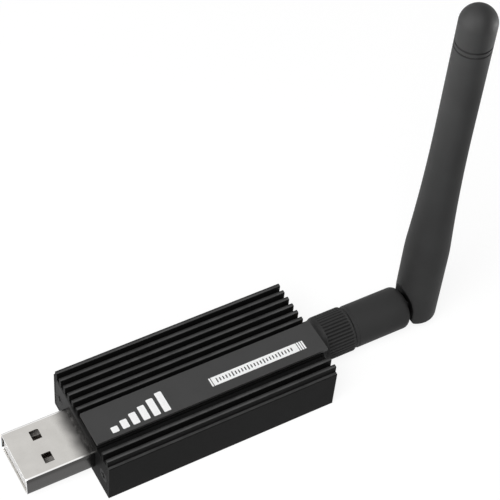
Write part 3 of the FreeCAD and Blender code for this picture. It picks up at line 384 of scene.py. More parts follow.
def anodised_plate(name, near_level, far_level):
    """Satin black end plate, brushed across its width; its tone is painted from darker on the near side to
    lighter on the far one, as shade and light.
    """
    finish = Finish(name, specular=0.025)
    brush = finish.noise(7.0, detail=3.0, stretch=(1.0, 0.05, 1.0))
    cloud = finish.noise(0.3, seed=5.0)
    across = finish.math("ADD", finish.part_of(1), finish.spread(cloud, 0.3, 0.7, -2.0, 2.0))
    # Painted shade and light: near_level on the near side, far_level on the far side.
    drift = finish.spread(across, -8.0, 10.0)
    body = finish.blend(drift, grey(near_level), grey(far_level))
    streak = finish.blend(drift, grey(near_level * 1.6), grey(far_level * 1.6))
    finish.colour(finish.blend(finish.spread(brush, 0.4, 0.75, 0.0, 0.6), body, streak))
    finish.roughness(finish.spread(brush, 0.3, 0.7, 0.44, 0.56))
    finish.relief(brush, 0.006)
    return finish.material


def label_face():
    """Painted satin plate: fine orange peel and a barely clouded tone."""
    finish = Finish("label_face", specular=0.3)
    cloud = finish.noise(0.15, detail=3.0)
    grain = finish.noise(6.0, detail=3.0, seed=2.0)
    body = finish.blend(finish.spread(cloud, 0.3, 0.7), grey(0.036), grey(0.041))
    finish.colour(finish.blend(finish.spread(grain, 0.45, 0.8, 0.0, 0.5), body, grey(0.047)))
    finish.roughness(finish.spread(grain, 0.3, 0.7, 0.48, 0.58))
    finish.relief(grain, 0.006)
    return finish.material


def print_ink(name, level):
    """Screen-printed ink, slightly uneven in cover."""
    finish = Finish(name, roughness=0.5, specular=0.3)
    cover = finish.noise(4.0, detail=4.0)
    finish.colour(finish.blend(finish.spread(cover, 0.35, 0.7), grey(level * 0.94), grey(level)))
    finish.relief(cover, 0.004)
    return finish.material


def rolled_steel():
    """Bright nickelled sheet of the plug with fine rolling lines along it.

    Its bends and its cut tip carry painted highlights, its sides are painted dark as shade, and a painted
    dark reflection of the housing deepens towards it, with a lighter painted band right beside it.
    """
    finish = Finish("rolled_steel", metallic=1.0)
    lines = finish.noise(9.0, detail=3.0, stretch=(0.04, 1.0, 1.0))
    cloud = finish.noise(0.25, detail=3.0, seed=4.0)
    top = finish.blend(finish.spread(cloud, 0.3, 0.7), (0.56, 0.545, 0.52), (0.6, 0.585, 0.56))
    top = finish.blend(finish.spread(lines, 0.45, 0.75, 0.0, 0.4), top, (0.63, 0.615, 0.585))
    along = finish.part_of(0)
    uneven = finish.math("ADD", along, finish.spread(cloud, 0.3, 0.7, -0.25, 0.25))
    # Painted reflection of the housing: the top is painted dark towards it, and lighter again in a narrow
    # band right beside it.
    housing_reflection_shade = finish.spread(uneven, USB_END - 4.55, USB_END - 1.05)
    top = finish.blend(housing_reflection_shade, top, grey(0.1, 0.03))
    top = finish.blend(finish.spread(uneven, USB_END - 0.9, USB_END - 0.35), top, grey(0.3, 0.03))
    from_middle = finish.math("ABSOLUTE", finish.math("SUBTRACT", finish.part_of(1), PLUG_MIDDLE))
    outer = PLUG_WIDTH / 2
    # Painted highlight on the bends, and painted shade on the flat sides.
    bend = finish.product(finish.spread(from_middle, outer - 0.4, outer - 0.25),
                          finish.spread(housing_reflection_shade, 1.0, 0.2))
    side = finish.spread(from_middle, outer - 0.07, outer - 0.02)
    sheet = finish.blend(side, finish.blend(bend, top, grey(0.88, 0.01)), grey(0.076, 0.02))
    # Painted highlight on the sheared tip.
    cut = finish.spread(along, PLUG_TIP + 0.07, PLUG_TIP + 0.02)
    finish.colour(finish.blend(cut, sheet, grey(0.95)))
    finish.roughness(finish.spread(cloud, 0.3, 0.7, 0.17, 0.23))
    finish.relief(lines, 0.002)
    return finish.material


def plug_moulding():
    """White moulding of the plug, white at the tip and painted grey deeper in, as shade inside the shell."""
    finish = Finish("plug_moulding", specular=0.4)
    grain = finish.noise(6.0, detail=4.0)
    uneven = finish.math("ADD", finish.part_of(0), finish.spread(grain, 0.3, 0.7, -0.2, 0.2))
    # Painted shade: the moulding behind the tip is painted grey, as shaded inside the shell.
    at_tip = finish.spread(uneven, PLUG_TIP + 3.2, PLUG_TIP + 1.8)
    shaded_grey = finish.blend(finish.spread(grain, 0.4, 0.7), grey(0.21, 0.05), grey(0.27, 0.05))
    finish.colour(finish.blend(at_tip, shaded_grey, grey(0.92, 0.01)))
    finish.roughness(finish.spread(grain, 0.3, 0.7, 0.4, 0.5))
    finish.relief(grain, 0.003)
    return finish.material


def contact_blades():
    """Contact blades of the plug: gold flashed at the tip, where they touch, and bare metal further in,
    painted dark as shade inside the shell.
    """
    finish = Finish("contact_blades", metallic=1.0)
    lines = finish.noise(12.0, detail=2.0, stretch=(0.1, 1, 1))
    stain = finish.noise(0.9, detail=4.0, seed=8.0)
    uneven = finish.math("ADD", finish.part_of(0), finish.spread(stain, 0.3, 0.7, -0.2, 0.2))
    # Bare metal behind the gold, with painted shade making it dark inside the shell.
    bare_and_shaded = finish.spread(uneven, PLUG_TIP + 4.0, PLUG_TIP + 4.6)
    finish.colour(finish.blend(bare_and_shaded, (0.8, 0.62, 0.3), (0.2, 0.17, 0.15)))
    finish.roughness(finish.spread(stain, 0.3, 0.7, 0.26, 0.4))
    finish.relief(lines, 0.003)
    return finish.material


def blackened_steel():
    """Oil-blackened screws, a little rubbed."""
    finish = Finish("blackened_screws", specular=0.05)
    wear = finish.noise(8.0, detail=3.0)
    finish.colour(finish.blend(finish.spread(wear, 0.35, 0.7), grey(0.014), grey(0.035)))
    finish.roughness(finish.spread(wear, 0.3, 0.7, 0.4, 0.55))
    finish.relief(wear, 0.004)
    return finish.material


def moulded_plastic(name, level, rough_low, rough_high, specular=0.35, grain_depth=0.006, warm=0.0,
                    shaded=None):
    """Moulded plastic with a fine spark-eroded grain and a slow drift of tone.

    shaded, a function of the finish, gives the places where painted shade makes it nearly black and dull.
    """
    finish = Finish(name, specular=specular)
    grain = finish.noise(7.0, detail=4.0)
    cloud = finish.noise(0.1, detail=2.0, seed=6.0)
    body = finish.blend(finish.spread(cloud, 0.3, 0.7), grey(level * 0.9, warm), grey(level * 1.1, warm))
    body = finish.blend(finish.spread(grain, 0.5, 0.8, 0.0, 0.5), body, grey(level * 1.3, warm))
    if shaded is not None:
        # Painted shade: nearly black colour and little specular where shaded marks.
        painted_shade = shaded(finish)
        body = finish.blend(painted_shade, body, grey(0.004))
        dulled = finish.spread(painted_shade, 0.0, 1.0, specular, 0.03)
        finish.set(finish.shader.inputs["Specular IOR Level"], dulled)
    finish.colour(body)
    finish.roughness(finish.spread(grain, 0.3, 0.7, rough_low, rough_high))
    finish.relief(grain, grain_depth)
    return finish.material


def antenna_moulding(name, shaded=None):
    """Black satin plastic of the antenna."""
    return moulded_plastic(name, 0.03, 0.54, 0.64, specular=0.14, shaded=shaded)


def cap_lines(finish):
    """Painted shade in the cap's seam and its ring groove, at half strength."""
    above_seam = finish.math("SUBTRACT", finish.part_of(2), AXIS_UP + SEAM_UP)
    seam = finish.band(above_seam, -0.2, CAP_BEVEL, 0.08)
    groove = finish.band(above_seam, RING_START - 0.03, RING_END + 0.03, 0.08)
    return finish.product(finish.math("MAXIMUM", seam, groove), 0.5)


def cut_cheeks(finish):
    """Painted shade on everything inside the mast's round section near the elbow, and on the cap's seam and
    ring groove.
    """
    away = finish.distance((0, 1), (HINGE_ALONG, 0.0))
    low = finish.spread(finish.part_of(2), AXIS_UP + CHEEK_TOP + CHEEK_FADE, AXIS_UP + CHEEK_TOP)
    inside = finish.product(finish.spread(away, MAST_RADIUS - 0.1, MAST_RADIUS - 0.3), low)
    return finish.math("MAXIMUM", inside, cap_lines(finish))


def knurl_grooves(finish):
    """Painted shade in the bottoms of the sleeve's grooves, at half strength."""
    away = finish.distance((1, 2), (0.0, AXIS_UP))
    along = finish.band(finish.part_of(0), GRIP_LOW[0] + COLLAR + FLARE, GRIP_HIGH[0] - BACK_RIM, 0.1)
    return finish.product(finish.spread(away, GRIP_RADIUS - 0.05, GRIP_RADIUS - 0.2), along, 0.5)


def plated_metal(name, colour, rough_low, rough_high, stretch):
    """Turned or drawn metal under a thin plating: fine tool lines and small stains."""
    finish = Finish(name, metallic=1.0)
    lines = finish.noise(12.0, detail=2.0, stretch=stretch)
    stain = finish.noise(0.9, detail=4.0, seed=8.0)
    dull = tuple(0.82 * part for part in colour)
    finish.colour(finish.blend(finish.spread(stain, 0.45, 0.7), colour, dull))
    finish.roughness(finish.spread(stain, 0.3, 0.7, rough_low, rough_high))
    finish.relief(lines, 0.003)
    return finish.material


def board_lacquer(name, colour):
    """Solder resist over a glass weave, with the weave just telling through."""
    finish = Finish(name, specular=0.5)
    weave = finish.product(finish.noise(3.0, stretch=(0.15, 1, 1)), finish.noise(3.0, stretch=(1, 0.15, 1)))
    dark = tuple(0.7 * part for part in colour)
    finish.colour(finish.blend(finish.spread(weave, 0.15, 0.4), dark, colour))
    finish.roughness(finish.spread(weave, 0.15, 0.4, 0.28, 0.4))
    finish.relief(weave, 0.01)
    return finish.material


def speckled(name, dark, light, rough):
    """Fired or pressed body, such as a chip or a ceramic block, speckled finely."""
    finish = Finish(name, roughness=rough, specular=0.4)
    speck = finish.noise(14.0, detail=4.0)
    finish.colour(finish.blend(finish.spread(speck, 0.35, 0.7), dark, light))
    finish.relief(speck, 0.008)
    return finish.material


# Plug and label

def make_plug_shell(finish):
    """The plug's shell as one folded sheet: a rounded rectangle, open along a seam below, run along X.

    The grid's rows go round the section from one side of the seam to the other and its
    columns along the plug. The rows and columns meet the windows' edges, and the faces
    inside the windows are left out. The sheet's thickness is given inwards.
    """
    def on_top(path):
        return (path[:-1, 1] == PLUG_HEIGHT) & (path[1:, 1] == PLUG_HEIGHT)

    side = PLUG_WIDTH / 2
    corners = [(SEAM / 2, 0.0), (side, 0.0), (side, PLUG_HEIGHT),
               (-side, PLUG_HEIGHT), (-side, 0.0), (-SEAM / 2, 0.0)]
    section = rounded(corners, [0, PLUG_BEND, PLUG_BEND, PLUG_BEND, PLUG_BEND, 0], steps=8, closed=False)
    window_sides = [(middle + half, PLUG_HEIGHT) for middle in (WINDOW_SPACING / 2, -WINDOW_SPACING / 2)
                    for half in (WINDOW_WIDTH / 2, -WINDOW_WIDTH / 2)]
    section = np.insert(section, np.flatnonzero(on_top(section))[-1] + 1, window_sides, axis=0)
    section = filled_in(section, 0.8, closed=False)
    window_start, window_end = WINDOW_MIDDLE - WINDOW_LENGTH / 2, WINDOW_MIDDLE + WINDOW_LENGTH / 2
    along = stations(0.0, (window_start, 7), (window_end, 4), (SHELL_HIGH[0] - PLUG_TIP, 11))
    points = np.empty((len(section), len(along), 3))
    points[..., 0] = PLUG_TIP + along
    points[..., 1] = PLUG_MIDDLE + section[:, :1]
    points[..., 2] = PLUG_BOTTOM + section[:, 1:]
    middle_across = (section[:-1, :1] + section[1:, :1]) / 2
    middle_along = (along[:-1] + along[1:]) / 2
    in_window = (on_top(section)[:, None]
                 & (np.abs(np.abs(middle_across) - WINDOW_SPACING / 2) < WINDOW_WIDTH / 2)
                 & (np.abs(middle_along - WINDOW_MIDDLE) < WINDOW_LENGTH / 2))
    shell = make_piece("plug_shell", [skin(points, keep=~in_window)], "stick", finish)
    wall = shell.modifiers.new("sheet", "SOLIDIFY")
    wall.thickness = SHEET * MM
    wall.offset = -1.0
    soften = shell.modifiers.new("sheared_edges", "BEVEL")
    soften.width = SHEARED_EDGE * MM
    soften.segments = 2
    soften.limit_method = "ANGLE"
    soften.angle_limit = math.radians(50)
    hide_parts("usb_shell")


def ink_field(near, far, start, end, height, corner):
    """A thin printed field: a rounded rectangle's outline at the plate and at the ink's top.

    Both outlines are closed by running in to their middle.
    """
    middle = np.array([(start + end) / 2, (near + far) / 2])
    half = np.array([end - start, far - near]) / 2
    ring = rounded([(-half[0], -half[1]), (half[0], -half[1]), half, (-half[0], half[1])], corner, steps=3)
    low, high = LABEL_TOP - 0.01, LABEL_TOP + height
    points = np.stack([np.column_stack([USB_END + middle[0] + shape[:, 0], middle[1] + shape[:, 1],
                                        np.full(len(shape), up)])
                       for shape, up in ((ring * 0, low), (ring, low), (ring, high), (ring * 0, high))])
    return skin(points, wrap_around=True)


def make_print(white, dark):
    """White fields on the label: a stepped signal sign, and a long bar with ruled ends and a row of ticks.

    The sign's steps stand at equal distances and their tops rise evenly. The ticks are dark
    fields on top of the bar, also at equal distances, and every fifth reaches further.
    """
    starts = np.linspace(SIGN_START, SIGN_END - STEP_WIDTH, SIGN_STEPS)
    tops = np.linspace(LOWEST_STEP, HIGHEST_STEP, SIGN_STEPS)
    fields = [ink_field(SIGN_FOOT, top, start, start + STEP_WIDTH, INK, STEP_CORNER)
              for start, top in zip(starts, tops)]
    left = BAR_START + LEFT_SLICE
    right = BAR_END - RIGHT_SLICES * RIGHT_SLICE
    slices = right + RIGHT_SLICE * np.arange(RIGHT_SLICES)
    stretches = [(BAR_START, left - RULE), (left, right), *zip(slices + RULE, slices + RIGHT_SLICE)]
    fields += [ink_field(BAR_NEAR, BAR_FAR, start, end, INK, BAR_CORNER) for start, end in stretches]
    make_piece("label_print", fields, "stick", white)
    starts = np.arange(left + TICK_MARGIN, right - TICK_MARGIN, TICK_PITCH)
    reaches = TICK_REACH + LONG_TICK_MORE * (np.arange(len(starts)) % LONG_TICK_EVERY == 0)
    middle = (BAR_NEAR + BAR_FAR) / 2
    ticks = [ink_field(middle - reach, middle + reach, start, start + TICK_WIDTH, 2 * INK, BAR_CORNER)
             for start, reach in zip(starts, reaches)]
    make_piece("label_ticks", ticks, "stick", dark)


# Antenna

def make_grip_sleeve(finish):
    """The knurled sleeve: a turned ring whose outside dips in 40 rounded grooves.

    radius = profile - depth * window(along) * ((1 + cos(40 angle)) / 2) ** 1.5, where the
    window rises as a quarter circle over the run-out at each end of the knurl.
    """
    start, end = GRIP_LOW[0], GRIP_HIGH[0]
    knurl_start, knurl_end = start + COLLAR + FLARE - 0.1, end - BACK_RIM
    corners = [(start, NUT_BORE), (start, COLLAR_RADIUS), (start + COLLAR, COLLAR_RADIUS),
               (start + COLLAR + FLARE, GRIP_RADIUS), (end - BACK_EDGE, GRIP_RADIUS),
               (end, GRIP_RADIUS - BACK_EDGE), (end, FERRULE_BORE), (end - BACK_WALL, FERRULE_BORE),
               (end - BACK_WALL, NUT_BORE)]
    profile = filled_in(rounded(corners, [0, 0.15, 0.3, 0.3, 0.2, 0.1, 0, 0, 0], steps=5), 0.12)

    def grooves(along, radius, angle):
        inside = np.clip(np.minimum(along - knurl_start, knurl_end - along) / KNURL_RUN_OUT, 0, 1)
        window = np.sqrt(1 - (1 - inside) ** 2) * (radius > GRIP_RADIUS - 0.01)
        return -KNURL_DEPTH * window * ((1 + np.cos(KNURLS * angle)) / 2) ** 1.5

    points = turned_along_x(profile, 10 * KNURLS, grooves)
    sleeve = make_piece("grip_sleeve", [skin(points, wrap_around=True, wrap_along=True)],
                        "coupling", finish, smooth_angle=50)
    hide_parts("knurled_sleeve")


def swivel_tongue(front):
    """The hinge tongue as a closed ring of rays from the hinge axis, each with the tongue's thickness.

    A ray starts on the pin's hole. Behind the axis it ends on a circle, and in front of it
    at the smaller of radius / |sin(angle)|, the straight sides, and front / -cos(angle).
    """
    angle = np.linspace(0, 2 * np.pi, 96, endpoint=False)
    with np.errstate(divide="ignore"):
        straight = np.minimum(TONGUE_RADIUS / np.abs(np.sin(angle)), front / np.maximum(-np.cos(angle), 1e-9))
    reach = np.where(np.cos(angle) >= 0, TONGUE_RADIUS, straight)
    section = rounded([(0.0, -TONGUE_HALF), (1.0, -TONGUE_HALF), (1.0, TONGUE_HALF), (0.0, TONGUE_HALF)],
                      [0, TONGUE_EDGE, TONGUE_EDGE, 0], steps=4)
    outwards = PIN_HOLE + (reach - PIN_HOLE) * np.minimum(section[:, :1], 1.0)
    across = np.broadcast_to(section[:, 1:], outwards.shape)
    points = np.stack([HINGE_ALONG + outwards * np.cos(angle), across,
                       AXIS_UP + outwards * np.sin(angle)], axis=-1)
    return flipped(skin(points, wrap_around=True, wrap_along=True))


def make_swivel_barrel(finish):
    """The swivel base: a turned barrel with a stepped neck and a rounded rim, and its hinge tongue.

    The barrel is a profile of (along, radius) swept round the antenna's axis, from the bore's
    closed end out to its mouth, over the neck and the outside and in to the middle of the back.
    """
    start, end = SWIVEL_START, HINGE_ALONG - ELBOW_GAP
    corners = [(start, FERRULE_BORE), (start, NECK_RADIUS), (start + NECK, NECK_RADIUS),
               (start + NECK, SWIVEL_RADIUS), (end, SWIVEL_RADIUS), (end, 0.0)]
    outside = rounded(corners, [0.1, 0.12, 0.03, 0.05, SWIVEL_RIM, 0.0], steps=10, closed=False)
    outside = filled_in(outside, 1.0, closed=False)
    bore_end = FERRULE_END + RING_PLAY
    bore = [(bore_end, 0.0), (bore_end, RING_ROOM_RADIUS), (bore_end - RING_ROOM, RING_ROOM_RADIUS),
            (bore_end - RING_ROOM, FERRULE_BORE), (start, FERRULE_BORE)]
    barrel = skin(turned_along_x(np.vstack([bore, outside[1:]]), ROUND_COLUMNS), wrap_around=True)
    swivel = make_piece("swivel_barrel", [barrel, swivel_tongue(ELBOW_GAP + TONGUE_SUNK)],
                        "swivel", finish)
    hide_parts("swivel_base")


def mast_radius(up):
    """Radius of the round mast at a height above the elbow.

    From the straight foot the radius falls as a parabola up to the turn, and from there
    as a second, longer one that ends upright at the waist: both have the same slope at
    the turn. The foot's edge is a quarter circle and the seam's edge a small bevel.
    """
    steepest = (MAST_RADIUS - WAIST_RADIUS) / (TAPER_END - TAPER_START)
    below = np.clip(up - TAPER_START, 0, None) ** 2 / (TAPER_TURN - TAPER_START)
    above = np.clip(TAPER_END - up, 0, None) ** 2 / (TAPER_END - TAPER_TURN)
    radius = np.where(up < TAPER_TURN, MAST_RADIUS - steepest * below, WAIST_RADIUS + steepest * above)
    under = np.clip(FOOT + FOOT_EDGE - up, 0, FOOT_EDGE)
    seam = np.clip(up - SEAM_UP + SEAM_BEVEL, 0, SEAM_BEVEL)
    return radius - FOOT_EDGE + np.sqrt(FOOT_EDGE ** 2 - under ** 2) - seam


def cheek_setback(up):
    """Distance of the hinge cheeks' cut from the mast's axis: a rounded corner, a flat, then a hollow curve.

    The curve is the parabola that leaves the flat at the axis' height and passes through
    the middle setback and the mast's radius at the heights given for them.
    """
    corner_start = FOOT + CHEEK_CORNER
    under = np.clip(corner_start - up, 0, CHEEK_CORNER)
    low = CHEEK_FLAT - CHEEK_CORNER + np.sqrt(CHEEK_CORNER ** 2 - under ** 2)
    rise = np.clip(up, 0, None)
    middle_slope = (CHEEK_MIDDLE - CHEEK_FLAT) / CHEEK_MIDDLE_UP
    top_slope = (MAST_RADIUS - CHEEK_FLAT) / CHEEK_TOP
    bend = (top_slope - middle_slope) / (CHEEK_TOP - CHEEK_MIDDLE_UP)
    return low + rise * (middle_slope + bend * (rise - CHEEK_MIDDLE_UP))


def soft_least(one, other, softness):
    """The smaller of two lengths, blended over the softness where they are near each other."""
    gap = np.clip((softness - np.abs(one - other)) / softness, 0, 1)
    return np.minimum(one, other) - softness * gap ** 2 / 4


def mast_point(angle, up):
    """Points of the mast's skin: the round section, cut flat on the plug side by the cheeks.

    The radius is the softened smaller of the round mast's and setback / -cos(angle).
    """
    flat = np.minimum(cheek_setback(up) / np.maximum(-np.cos(angle), 1e-6), 10 * MAST_RADIUS)
    return turned_up(up, soft_least(mast_radius(up), flat, CHEEK_SOFTNESS), angle)


def slot_walls(up):
    """The fork slot's wall at each height: in along the far cheek, across the back, out along the near one.

    The back is a straight wall below the elbow's axis and follows the tongue's circle above it.
    """
    back = np.where(up <= 0, SLOT_REACH, np.sqrt(np.clip(SLOT_REACH ** 2 - up ** 2, 0, None)))
    front = -cheek_setback(up)
    share = np.linspace(0, 3, SKIN_COLUMNS + 1)[None]
    along = front + (back - front) * np.clip(np.minimum(share, 3 - share), 0, 1)
    across = SLOT_HALF * np.clip(3 - 2 * share, -1, 1) + 0 * along
    return np.stack([HINGE_ALONG + along, across, AXIS_UP + up + 0 * along], axis=-1)


def between(one, other, steps):
    """Rows of points that lead from one row to another in equal steps."""
    share = np.linspace(0, 1, steps + 1)[:, None, None]
    return one[None] * (1 - share) + other[None] * share


def make_mast(finish):
    """The mast, closed from six skins.

    Its back and the strip in front, above the slot, are the mast's points over angle and
    height. The slot's walls come next, then its roof and the foot's face, which lead in
    straight lines from the skin to the walls, and last the bore below the cap.
    """
    foot_turn = np.linspace(0, np.pi / 2, 6)
    slot_up = np.concatenate([FOOT + FOOT_EDGE * (1 - np.cos(foot_turn)),
                              stations(FOOT + FOOT_EDGE, (0.0, 11), (SLOT_REACH, 12))[1:]])[:, None]
    strip_up = stations(SLOT_REACH, (CHEEK_TOP + CHEEK_FADE, 25), (TAPER_START, 6), (TAPER_END, 44),
                        (SEAM_UP - SEAM_BEVEL, 13), (SEAM_UP, 1))[:, None]
    up = np.concatenate([slot_up, strip_up[1:]])
    edge = np.pi - np.arctan2(SLOT_HALF, np.minimum(cheek_setback(up), mast_radius(up)))
    behind = np.linspace(1, -1, SKIN_COLUMNS + 1)[None] * edge
    back = mast_point(behind, up)
    across = np.linspace(-SLOT_HALF, SLOT_HALF, SLOT_COLUMNS + 1)[None]
    in_front = np.arctan2(across, -np.minimum(cheek_setback(strip_up), mast_radius(strip_up)))
    strip = mast_point(in_front, strip_up)
    walls = slot_walls(slot_up)
    slot_back = walls[-1, 2 * SLOT_COLUMNS:SLOT_COLUMNS - 1:-1]
    bore_up = np.array([[SEAM_UP], [SEAM_UP], [BORE_START], [BORE_START]])
    bore_radius = np.array([[WAIST_RADIUS - SEAM_BEVEL], [MAST_BORE], [MAST_BORE], [0.0]])
    bore = turned_up(bore_up, bore_radius, np.concatenate([behind[-1], in_front[-1, 1:-1]]))
    parts = [flipped(skin(back)), flipped(skin(strip)), skin(walls),
             skin(between(strip[0], slot_back, SLOT_COLUMNS)), skin(between(back[0], walls[0], 4)),
             flipped(skin(bore, wrap_around=True))]
    mast = make_piece("mast_body", parts, "mast", finish, smooth_angle=35)
    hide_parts("mast_sleeve")


def make_cap(finish):
    """The cap: a profile of spigot, bevelled seam, ring groove and dome, swept round the mast's axis.

    The dome is a quarter circle: height = its foot + r sin(turn), radius = r cos(turn).
    """
    radius, dome_up = WAIST_RADIUS, CAP_UP - WAIST_RADIUS
    ring_start, ring_end, ring_floor = SEAM_UP + RING_START, SEAM_UP + RING_END, radius - RING_DEPTH
    corners = [(SEAM_UP - SPIGOT, 0.0), (SEAM_UP - SPIGOT, SPIGOT_RADIUS), (SEAM_UP, SPIGOT_RADIUS),
               (SEAM_UP, radius - CAP_BEVEL), (SEAM_UP + CAP_BEVEL, radius), (ring_start, radius),
               (ring_start, ring_floor), (ring_end, ring_floor), (ring_end, radius)]
    profile = rounded(corners, [0, 0, 0, 0.05, 0.1, 0.08, 0.08, 0.08, 0], steps=6, closed=False)
    turn = np.linspace(0, np.pi / 2, 28)
    dome = np.column_stack([dome_up + radius * np.sin(turn), radius * np.cos(turn)])
    dome[-1] = CAP_UP, 0.0
    profile = filled_in(np.vstack([profile, dome]), 0.6, closed=False)
    angle = np.linspace(0, 2 * np.pi, ROUND_COLUMNS, endpoint=False)
    points = turned_up(profile[:, :1], profile[:, 1:], angle)
    cap = make_piece("cap_skin", [skin(points, wrap_around=True)], "mast", finish)
    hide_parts("tip_cap")


# Camera, lamps and floor

CAMERA_PLACE = (-103.68, -172.07, 291.68)
CAMERA_HEADING, CAMERA_DIP, CAMERA_ROLL = 33.4146, 50.1561, 5.894
LENS, SENSOR = 122.534, 36.0
NEAREST, FURTHEST = 10.0, 20000.0
FLOOR_HALF = 3000.0
FLOOR_LEVEL, FLOOR_SEEN_LEVEL, FLOOR_GLOW = 0.4, 0.17, 0.87
SKY_LEVEL = 0.18


def make_camera():
    """The photograph's view: heading from +Y towards +X, dip below the horizon, roll about the view."""
    data = bpy.data.cameras.new("photo_camera")
    data.lens, data.sensor_width = LENS, SENSOR
    data.clip_start, data.clip_end = NEAREST * MM, FURTHEST * MM
    camera = bpy.data.objects.new("photo_camera", data)
    turn = (Matrix.Rotation(math.radians(-CAMERA_HEADING), 4, "Z")
            @ Matrix.Rotation(math.radians(90 - CAMERA_DIP), 4, "X")
            @ Matrix.Rotation(math.radians(CAMERA_ROLL), 4, "Z"))
    camera.matrix_world = Matrix.Translation([value * MM for value in CAMERA_PLACE]) @ turn
    bpy.context.scene.collection.objects.link(camera)
    bpy.context.scene.camera = camera


def softbox(name, place, aim, side, power, spread=180.0):
    """A square lamp that faces its aim and isn't seen itself; a small spread is a grid in front of it."""
    data = bpy.data.lights.new(name, "AREA")
    data.shape = "SQUARE"
    data.spread = math.radians(spread)
    data.size, data.energy = side * MM, power
    lamp = bpy.data.objects.new(name, data)
    place, aim = Vector(place) * MM, Vector(aim) * MM
    lamp.matrix_world = Matrix.Translation(place) @ (place - aim).to_track_quat("Z", "Y").to_matrix().to_4x4()
    lamp.visible_camera = False
    bpy.context.scene.collection.objects.link(lamp)


def seen_directly(tree):
    """1 for rays from the camera, mirrors and clear stuff, 0 for light that falls on the object."""
    path = tree.nodes.new("ShaderNodeLightPath")
    total = path.outputs["Is Camera Ray"]
    for kind in ("Is Glossy Ray", "Is Transmission Ray"):
        larger = tree.nodes.new("ShaderNodeMath")
        larger.operation = "MAXIMUM"
        tree.links.new(total, larger.inputs[0])
        tree.links.new(path.outputs[kind], larger.inputs[1])
        total = larger.outputs[0]
    return total


def make_floor():
    """A pale floor: a white glow for the eye and a diffuse part that keeps the object's shadow."""
    mesh = bpy.data.meshes.new("pale_floor")
    side = FLOOR_HALF * MM
    corners = [(-side, -side, 0), (side, -side, 0), (side, side, 0), (-side, side, 0)]
    mesh.from_pydata(corners, [], [(0, 1, 2, 3)])
    floor = bpy.data.objects.new("pale_floor", mesh)
    bpy.context.scene.collection.objects.link(floor)
    material = bpy.data.materials.new("pale_floor")
    material.use_nodes = True
    tree = material.node_tree
    tree.nodes.clear()
    plain = tree.nodes.new("ShaderNodeBsdfDiffuse")
    plain.inputs["Color"].default_value = (*grey(FLOOR_LEVEL), 1)
    faint = tree.nodes.new("ShaderNodeBsdfDiffuse")
    faint.inputs["Color"].default_value = (*grey(FLOOR_SEEN_LEVEL), 1)
    glow = tree.nodes.new("ShaderNodeEmission")
    glow.inputs["Strength"].default_value = FLOOR_GLOW
    both = tree.nodes.new("ShaderNodeAddShader")
    mix = tree.nodes.new("ShaderNodeMixShader")
    out = tree.nodes.new("ShaderNodeOutputMaterial")
    for source, socket in ((faint.outputs[0], both.inputs[0]), (glow.outputs[0], both.inputs[1]),
                           (seen_directly(tree), mix.inputs[0]), (plain.outputs[0], mix.inputs[1]),
                           (both.outputs[0], mix.inputs[2]), (mix.outputs[0], out.inputs[0])):
        tree.links.new(source, socket)
    mesh.materials.append(material)


def make_world():
    """An even, dim sky for the object and a white one for the eye."""
    world = bpy.data.worlds.new("studio")
    bpy.context.scene.world = world
    world.use_nodes = True
    tree = world.node_tree
    back = tree.nodes["Background"]
    level = tree.nodes.new("ShaderNodeMapRange")
    tree.links.new(seen_directly(tree), level.inputs["Value"])
    level.inputs["To Min"].default_value = SKY_LEVEL
    level.inputs["To Max"].default_value = 1.0
    tree.links.new(level.outputs["Result"], back.inputs["Strength"])
    back.inputs["Color"].default_value = (1, 1, 1, 1)


make_camera()
make_world()
make_floor()
softbox("key_softbox", (-450, -300, 780), (20, 0, 30), side=600, power=8.5)
softbox("antenna_softbox", (-230, 50, 125), (54, 0, 122), side=100, power=0.085, spread=38.0)
softbox("cap_softbox", (155, -36, 64), (56, 0, 93), side=30, power=0.0036, spread=14.0)
bpy.context.scene.view_settings.view_transform = "Standard"


# What each node is made of

# The antenna's knurl grooves, cheek cuts and cap lines carry painted shade.
grip_plastic = antenna_moulding("grip_plastic", knurl_grooves)
swivel_plastic = antenna_moulding("swivel_plastic")
mast_plastic = antenna_moulding("mast_plastic", cut_cheeks)
cap_plastic = antenna_moulding("cap_plastic", cap_lines)
plug_steel = rolled_steel()

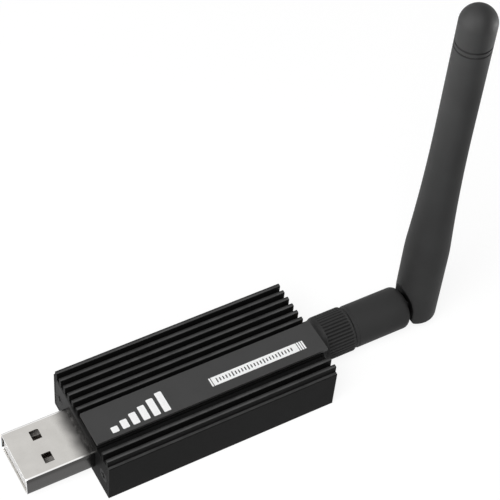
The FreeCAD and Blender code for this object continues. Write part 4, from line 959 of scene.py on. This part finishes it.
finish_nodes = [
    (anodised_housing(), ["housing"]),
    (label_face(), ["label_plate"]),
    # The front plate's near side is painted dark as shade and its far side lighter as lit.
    (anodised_plate("front_plate", 0.007, 0.055), ["usb_end_plate"]),
    (anodised_plate("back_plate", 0.02, 0.03), ["antenna_end_plate"]),
    (blackened_steel(), ["usb_end_screws", "antenna_end_screws"]),
    (plug_steel, ["usb_shell"]),
    (plug_moulding(), ["usb_insulator"]),
    (contact_blades(), ["usb_contacts"]),
    (board_lacquer("green_board", (0.02, 0.13, 0.05)), ["circuit_board"]),
    (board_lacquer("blue_module", (0.02, 0.05, 0.17)), ["radio_module"]),
    (plated_metal("tinned_shield", (0.66, 0.66, 0.64), 0.3, 0.42, (1, 0.2, 1)), ["radio_shield", "crystal"]),
    (speckled("chip_body", grey(0.012), grey(0.03), 0.5), ["usb_bridge_chip", "voltage_regulator"]),
    (speckled("ceramic", (0.36, 0.26, 0.15), (0.5, 0.37, 0.23), 0.45), ["chip_capacitors"]),
    (plated_metal("gold_jack", (0.83, 0.62, 0.29), 0.2, 0.32, (1, 0.1, 0.1)),
     ["antenna_jack", "jack_centre_contact", "jack_washer", "jack_nut", "coupling_nut", "ferrule",
      "ferrule_centre_pin"]),
    (moulded_plastic("jack_core", 0.75, 0.4, 0.5, grain_depth=0.002),
     ["jack_insulator", "ferrule_insulator"]),
    (grip_plastic, ["knurled_sleeve"]),
    (swivel_plastic, ["swivel_base"]),
    (mast_plastic, ["mast_sleeve"]),
    (cap_plastic, ["tip_cap"]),
    (moulded_plastic("pin_plastic", 0.028, 0.35, 0.45), ["elbow_pin"]),
    (moulded_plastic("coax_jacket", 0.2, 0.35, 0.45, warm=0.4), ["mast_coax"]),
    (plated_metal("drawn_brass", (0.74, 0.54, 0.25), 0.25, 0.38, (1, 1, 0.1)),
     ["radiator_sleeve", "radiator_rod"]),
]
for finish, nodes in finish_nodes:
    for node in nodes:
        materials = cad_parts[node].data.materials
        for place in range(len(materials)):
            materials[place] = finish

make_plug_shell(plug_steel)
make_print(print_ink("white_ink", 0.99), print_ink("dark_ink", 0.06))
make_grip_sleeve(grip_plastic)
make_swivel_barrel(swivel_plastic)
make_mast(mast_plastic)
make_cap(cap_plastic)
